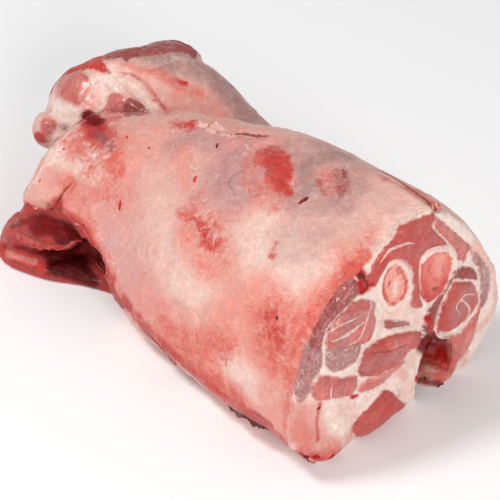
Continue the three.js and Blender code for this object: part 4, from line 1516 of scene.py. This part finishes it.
class LAMBNECK_OT_flesh(bpy.types.Operator):
    """Models the meat with its skin, cut face, mouth and rear end"""

    bl_idname = "lamb_neck.flesh"
    bl_label = "Meat and Skin"

    def execute(self, context):
        solids = [copy_of(node, node + "_form") for node in ("neck_meat", *BONES)]
        base = join(solids, "meat_and_skin")
        apply_modifier(base, "REMESH", mode="VOXEL", voxel_size=sizes().grid, adaptivity=0)
        apply_modifier(base, "SMOOTH", factor=0.5, iterations=sizes().smoothing)
        shape_skin(base, Surface(base.data))
        surface = Surface(base.data)
        face = split_face(base)
        material = flesh_material()
        for piece, fine in ((base, False), (face, True)):
            swell = paint_flesh(piece, surface, fine)
            points, normals = points_of(piece)
            pixels = project(points)
            if fine:
                inward = smoothstep(SAWN_X - 5, SAWN_X - 1.5, points[:, 0])
                swell = inward * (swell + 0.15 * noise(points, 2.2, 7) + 0.1 * noise(points, 1.1, 8))
            points = points + normals * swell[:, None]
            if fine:
                points[:, 0] -= socket_depth(points, pixels)
            move_points(piece, points)
        apply_modifier(face, "SOLIDIFY", thickness=SHEET * MM, offset=-1)
        finish_piece(base, "meat", material, "neck_meat")
        finish_piece(face, "meat", material)
        return {"FINISHED"}


# ---------------------------------------------------------------- bone heads

HEAD_OVERLAP = 0.25  # mm that a head reaches past its rim, under the meat
HEAD_EDGE = 1.2  # mm that its front rounds back at the rim
HEAD_DEPTH = 4.5  # mm that its back goes in behind that
HEAD_SQUARENESS = 12  # how late the rounding starts towards the rim


def on_plane(pixels, x):
    """The y and z in mm where photo pixels meet the upright plane at x."""
    rays = np.array([pixel_ray(pixel) for pixel in pixels])
    reach = (x - EYE[0]) / rays[:, 0]
    return (EYE + rays * reach[:, None])[:, 1:]


def shape_head(unit, rim, core, plane):
    """A bone head's points in mm, from those of a unit sphere, and how deep each lies in the core."""
    middle = rim.mean(0)
    turn = np.arctan2(unit[:, 1], unit[:, 0])
    share = np.hypot(unit[:, 0], unit[:, 1])
    spokes = rim - middle
    headings = np.arctan2(spokes[:, 1], spokes[:, 0])
    order = np.argsort(headings)
    reach = np.hypot(*spokes.T)[order]
    radius = np.interp(turn, headings[order], reach, period=2 * math.pi) + HEAD_OVERLAP
    flat = middle + np.stack((np.cos(turn), np.sin(turn)), -1) * (radius * share)[:, None]
    front = unit[:, 2] > -1e-6
    rounding = share ** HEAD_SQUARENESS
    x = plane - np.where(front, HEAD_EDGE * rounding, HEAD_EDGE + HEAD_DEPTH * (1 - rounding))
    points = np.column_stack((x, flat))
    depth = outline_depth(flat, core)
    lift = 0.25 - 0.6 * smoothstep(-0.5, 0.9, depth) + 0.16 * noise(points, 3.2, 70)
    lift += 0.14 * noise(points, 1.2, 71) * (depth > 0) + 0.08 * noise(points, 0.7, 72)
    points[:, 0] += front * lift * (1 - rounding)
    return points, depth


def head_tint(points, depth, bone, plane):
    """The colours of a bone head: gristle round a spongy core, with stains and dots of blood."""
    tint = np.tile(tone("gristle"), (len(points), 1))
    rough_depth = depth + 0.7 * noise(points, 1.3, 73)
    tint += smoothstep(-0.35, 0.35, rough_depth)[:, None] * (tone(bone["colour"]) - tint)
    wander = 0.625 * noise(points, 1.8, 74)
    for mark in bone["stains"].values():
        line = rounded(on_plane(mark.path, plane))
        line = np.column_stack((np.full(len(line), plane), line))
        tint += cover_of(mark, line, points, wander, 0.4)[:, None] * (tone(mark.colour) - tint)
    dots = smoothstep(0.45, 0.7, noise(points, 1.5, 75)) * smoothstep(1.6, 0.2, np.abs(depth - 0.6))
    tint += 0.8 * dots[:, None] * (tone("red") - tint)
    return tint


class LAMBNECK_OT_bones(bpy.types.Operator):
    """Models the sawn heads of the two neck bones"""

    bl_idname = "lamb_neck.bones"
    bl_label = "Bone Heads"

    def execute(self, context):
        material = tinted_material("sawn bone", 0.42, 0.3, 0.35, 0.9)
        for node, bone in BONES.items():
            plane = SAWN_X + bone["proud"]
            rim, core = (rounded(on_plane(bone[line], plane), closed=True) for line in ("rim", "core"))
            bpy.ops.object.select_all(action="DESELECT")
            bpy.ops.mesh.primitive_uv_sphere_add(segments=128, ring_count=80, radius=1)
            head = context.object
            head.name = head.data.name = node.removeprefix("neck_") + "_head"
            points, depth = shape_head(points_of(head)[0] * MM, rim, core, plane)
            tint = head_tint(points, depth, bone, plane)
            move_points(head, points)
            only(head)
            bpy.ops.object.mode_set(mode="EDIT")
            bpy.ops.mesh.select_all(action="SELECT")
            bpy.ops.mesh.normals_make_consistent(inside=False)
            bpy.ops.object.mode_set(mode="OBJECT")
            paint(head, "tint", tint)
            finish_piece(head, "bone", material, node)
        return {"FINISHED"}


# ---------------------------------------------------------------- clots and torn scraps

FACE_LEFT = 290  # the photo pixel where the sawn face begins
STRIP_CUTS = 14  # a torn strip's points for each span of its line
STRIP_ROWS = 6  # faces up a torn strip


def frame_at(surface, pixel, angle):
    """The point at a pixel with the directions along, across and out of the surface there."""
    place, normal = surface.hit(pixel)
    turn = math.radians(angle)
    along = RIGHT * math.cos(turn) + UP * math.sin(turn)
    along = along - normal * (along @ normal)
    along /= np.linalg.norm(along)
    return place, along, np.cross(normal, along), normal


def clot_blob(clot, count, surface):
    """One uneven blob of blood on a surface."""
    place, along, across, out = frame_at(surface, clot.pixel, clot.angle)
    bpy.ops.object.select_all(action="DESELECT")
    bpy.ops.mesh.primitive_uv_sphere_add(segments=28, ring_count=16, radius=1)
    blob = bpy.context.object
    unit = points_of(blob)[0] * MM
    seeded = unit * 3 + count * 17.0
    unit = unit * (1 + 0.3 * noise(seeded, 1.7, 80) + 0.15 * noise(seeded, 0.8, 81))[:, None]
    half = np.array((clot.length, clot.width, clot.height)) / 2
    points = place - out * 0.1 + (unit * half) @ np.stack((along, across, out))
    move_points(blob, points)
    tint = np.tile(tone(clot.colour), (len(points), 1))
    tint *= (1 + 0.35 * noise(points, 1.2, 82))[:, None]
    paint(blob, "tint", np.clip(tint, 0, 1))
    return blob


class LAMBNECK_OT_clots(bpy.types.Operator):
    """Sets small clots of blood on the skin and the cut faces"""

    bl_idname = "lamb_neck.clots"
    bl_label = "Clots"

    def execute(self, context):
        skin, face = (Surface(bpy.data.objects[name].data) for name in ("meat_and_skin", "sawn_face"))
        blobs = []
        for count, clot in enumerate(CLOTS):
            on_face = face.struck(clot.pixel) and clot.pixel[0] > FACE_LEFT
            blobs.append(clot_blob(clot, count, face if on_face else skin))
        material = tinted_material("clotted blood", 0.4, 0.06, 0.15, 0.8)
        material.node_tree.nodes["Principled BSDF"].inputs["Specular IOR Level"].default_value = 0.2
        finish_piece(join(blobs, "blood_clots"), "meat", material)
        return {"FINISHED"}


def torn_strip(scrap, surface):
    """One ragged strip that stands on a surface along a scrap's line."""
    line = rounded(scrap.path, cuts=STRIP_CUTS)
    frames = [frame_at(surface, pixel, scrap.turn) for pixel in line]
    places, lean_way, _, outward = (np.array(each) for each in zip(*frames))
    length = np.concatenate(([0], np.cumsum(np.linalg.norm(np.diff(places, axis=0), axis=1))))
    last = len(line) - 1
    bpy.ops.object.select_all(action="DESELECT")
    bpy.ops.mesh.primitive_grid_add(x_subdivisions=last, y_subdivisions=STRIP_ROWS, size=2)
    strip = bpy.context.object
    unit = points_of(strip)[0] * MM
    column = np.rint((unit[:, 0] + 1) / 2 * last).astype(int)
    rise = (unit[:, 1] + 1) / 2
    along = np.column_stack((length[column], rise * 0, rise * 0 + scrap.seed * 7.0))
    ragged = 0.55 + 0.5 * noise(along, 3.0, scrap.seed) + 0.4 * noise(along, 1.1, scrap.seed + 1)
    ends = smoothstep(0, 0.12, 0.5 - np.abs(column / last - 0.5))
    height = scrap.height * np.clip(ragged, 0.12, 1.2) * ends
    curl = 0.5 * noise(np.column_stack((length[column], rise * 3, rise * 0)), 2.4, scrap.seed + 2)
    way = (1 - scrap.outward) * lean_way + scrap.outward * outward
    way /= np.linalg.norm(way, axis=1)[:, None]
    points = places[column] - 0.5 * outward[column] + way[column] * (height * rise)[:, None]
    points += outward[column] * ((0.6 + curl) * rise * ends)[:, None]
    tint = np.tile(tone(scrap.colour), (len(points), 1))
    tint *= (1 + 0.2 * noise(points, 1.6, scrap.seed + 3))[:, None]
    move_points(strip, points)
    paint(strip, "tint", np.clip(tint, 0, 1))
    apply_modifier(strip, "SOLIDIFY", thickness=scrap.thick * MM, offset=0)
    return strip


class LAMBNECK_OT_scraps(bpy.types.Operator):
    """Sets the torn edges of membrane and meat along the crest, the mouth and the lower edge"""

    bl_idname = "lamb_neck.scraps"
    bl_label = "Torn Scraps"

    def execute(self, context):
        surface = Surface(bpy.data.objects["meat_and_skin"].data)
        scraps = join([torn_strip(scrap, surface) for scrap in SCRAPS.values()], "torn_scraps")
        # their thickness may reach past the solids' box, and move_points clips it
        move_points(scraps, points_of(scraps)[0])
        finish_piece(scraps, "meat", tinted_material("torn membrane", 0.45, 0.3, 0.3, 1.2))
        return {"FINISHED"}


# ---------------------------------------------------------------- panel


class LAMBNECK_PT_panel(bpy.types.Panel):
    """Builds the raw lamb neck piece by piece"""

    bl_idname = "LAMBNECK_PT_panel"
    bl_label = "Raw Lamb Neck"
    bl_space_type = "VIEW_3D"
    bl_region_type = "UI"
    bl_category = "Lamb Neck"

    def draw(self, context):
        layout = self.layout
        for each in BUILD_STEPS:
            layout.operator(each.bl_idname)
        for settings in (sizes(), colours()):
            box = layout.box()
            for key in settings.bl_rna.properties.keys():
                if key not in ("rna_type", "name"):
                    box.prop(settings, key)


BUILD_STEPS = (LAMBNECK_OT_stage, LAMBNECK_OT_flesh, LAMBNECK_OT_bones, LAMBNECK_OT_clots, LAMBNECK_OT_scraps)
CLASSES = (LambNeckColours, LambNeckSizes, *BUILD_STEPS, LAMBNECK_PT_panel)


def register():
    for each in CLASSES:
        bpy.utils.register_class(each)
    bpy.types.Scene.lamb_neck_colours = PointerProperty(type=LambNeckColours)
    bpy.types.Scene.lamb_neck_sizes = PointerProperty(type=LambNeckSizes)


def unregister():
    del bpy.types.Scene.lamb_neck_sizes
    del bpy.types.Scene.lamb_neck_colours
    for each in reversed(CLASSES):
        bpy.utils.unregister_class(each)


def main():
    register()
    make_groups()
    bpy.ops.lamb_neck.stage()
    bpy.ops.lamb_neck.flesh()
    bpy.ops.lamb_neck.bones()
    bpy.ops.lamb_neck.clots()
    bpy.ops.lamb_neck.scraps()


if __name__ == "__main__":
    main()
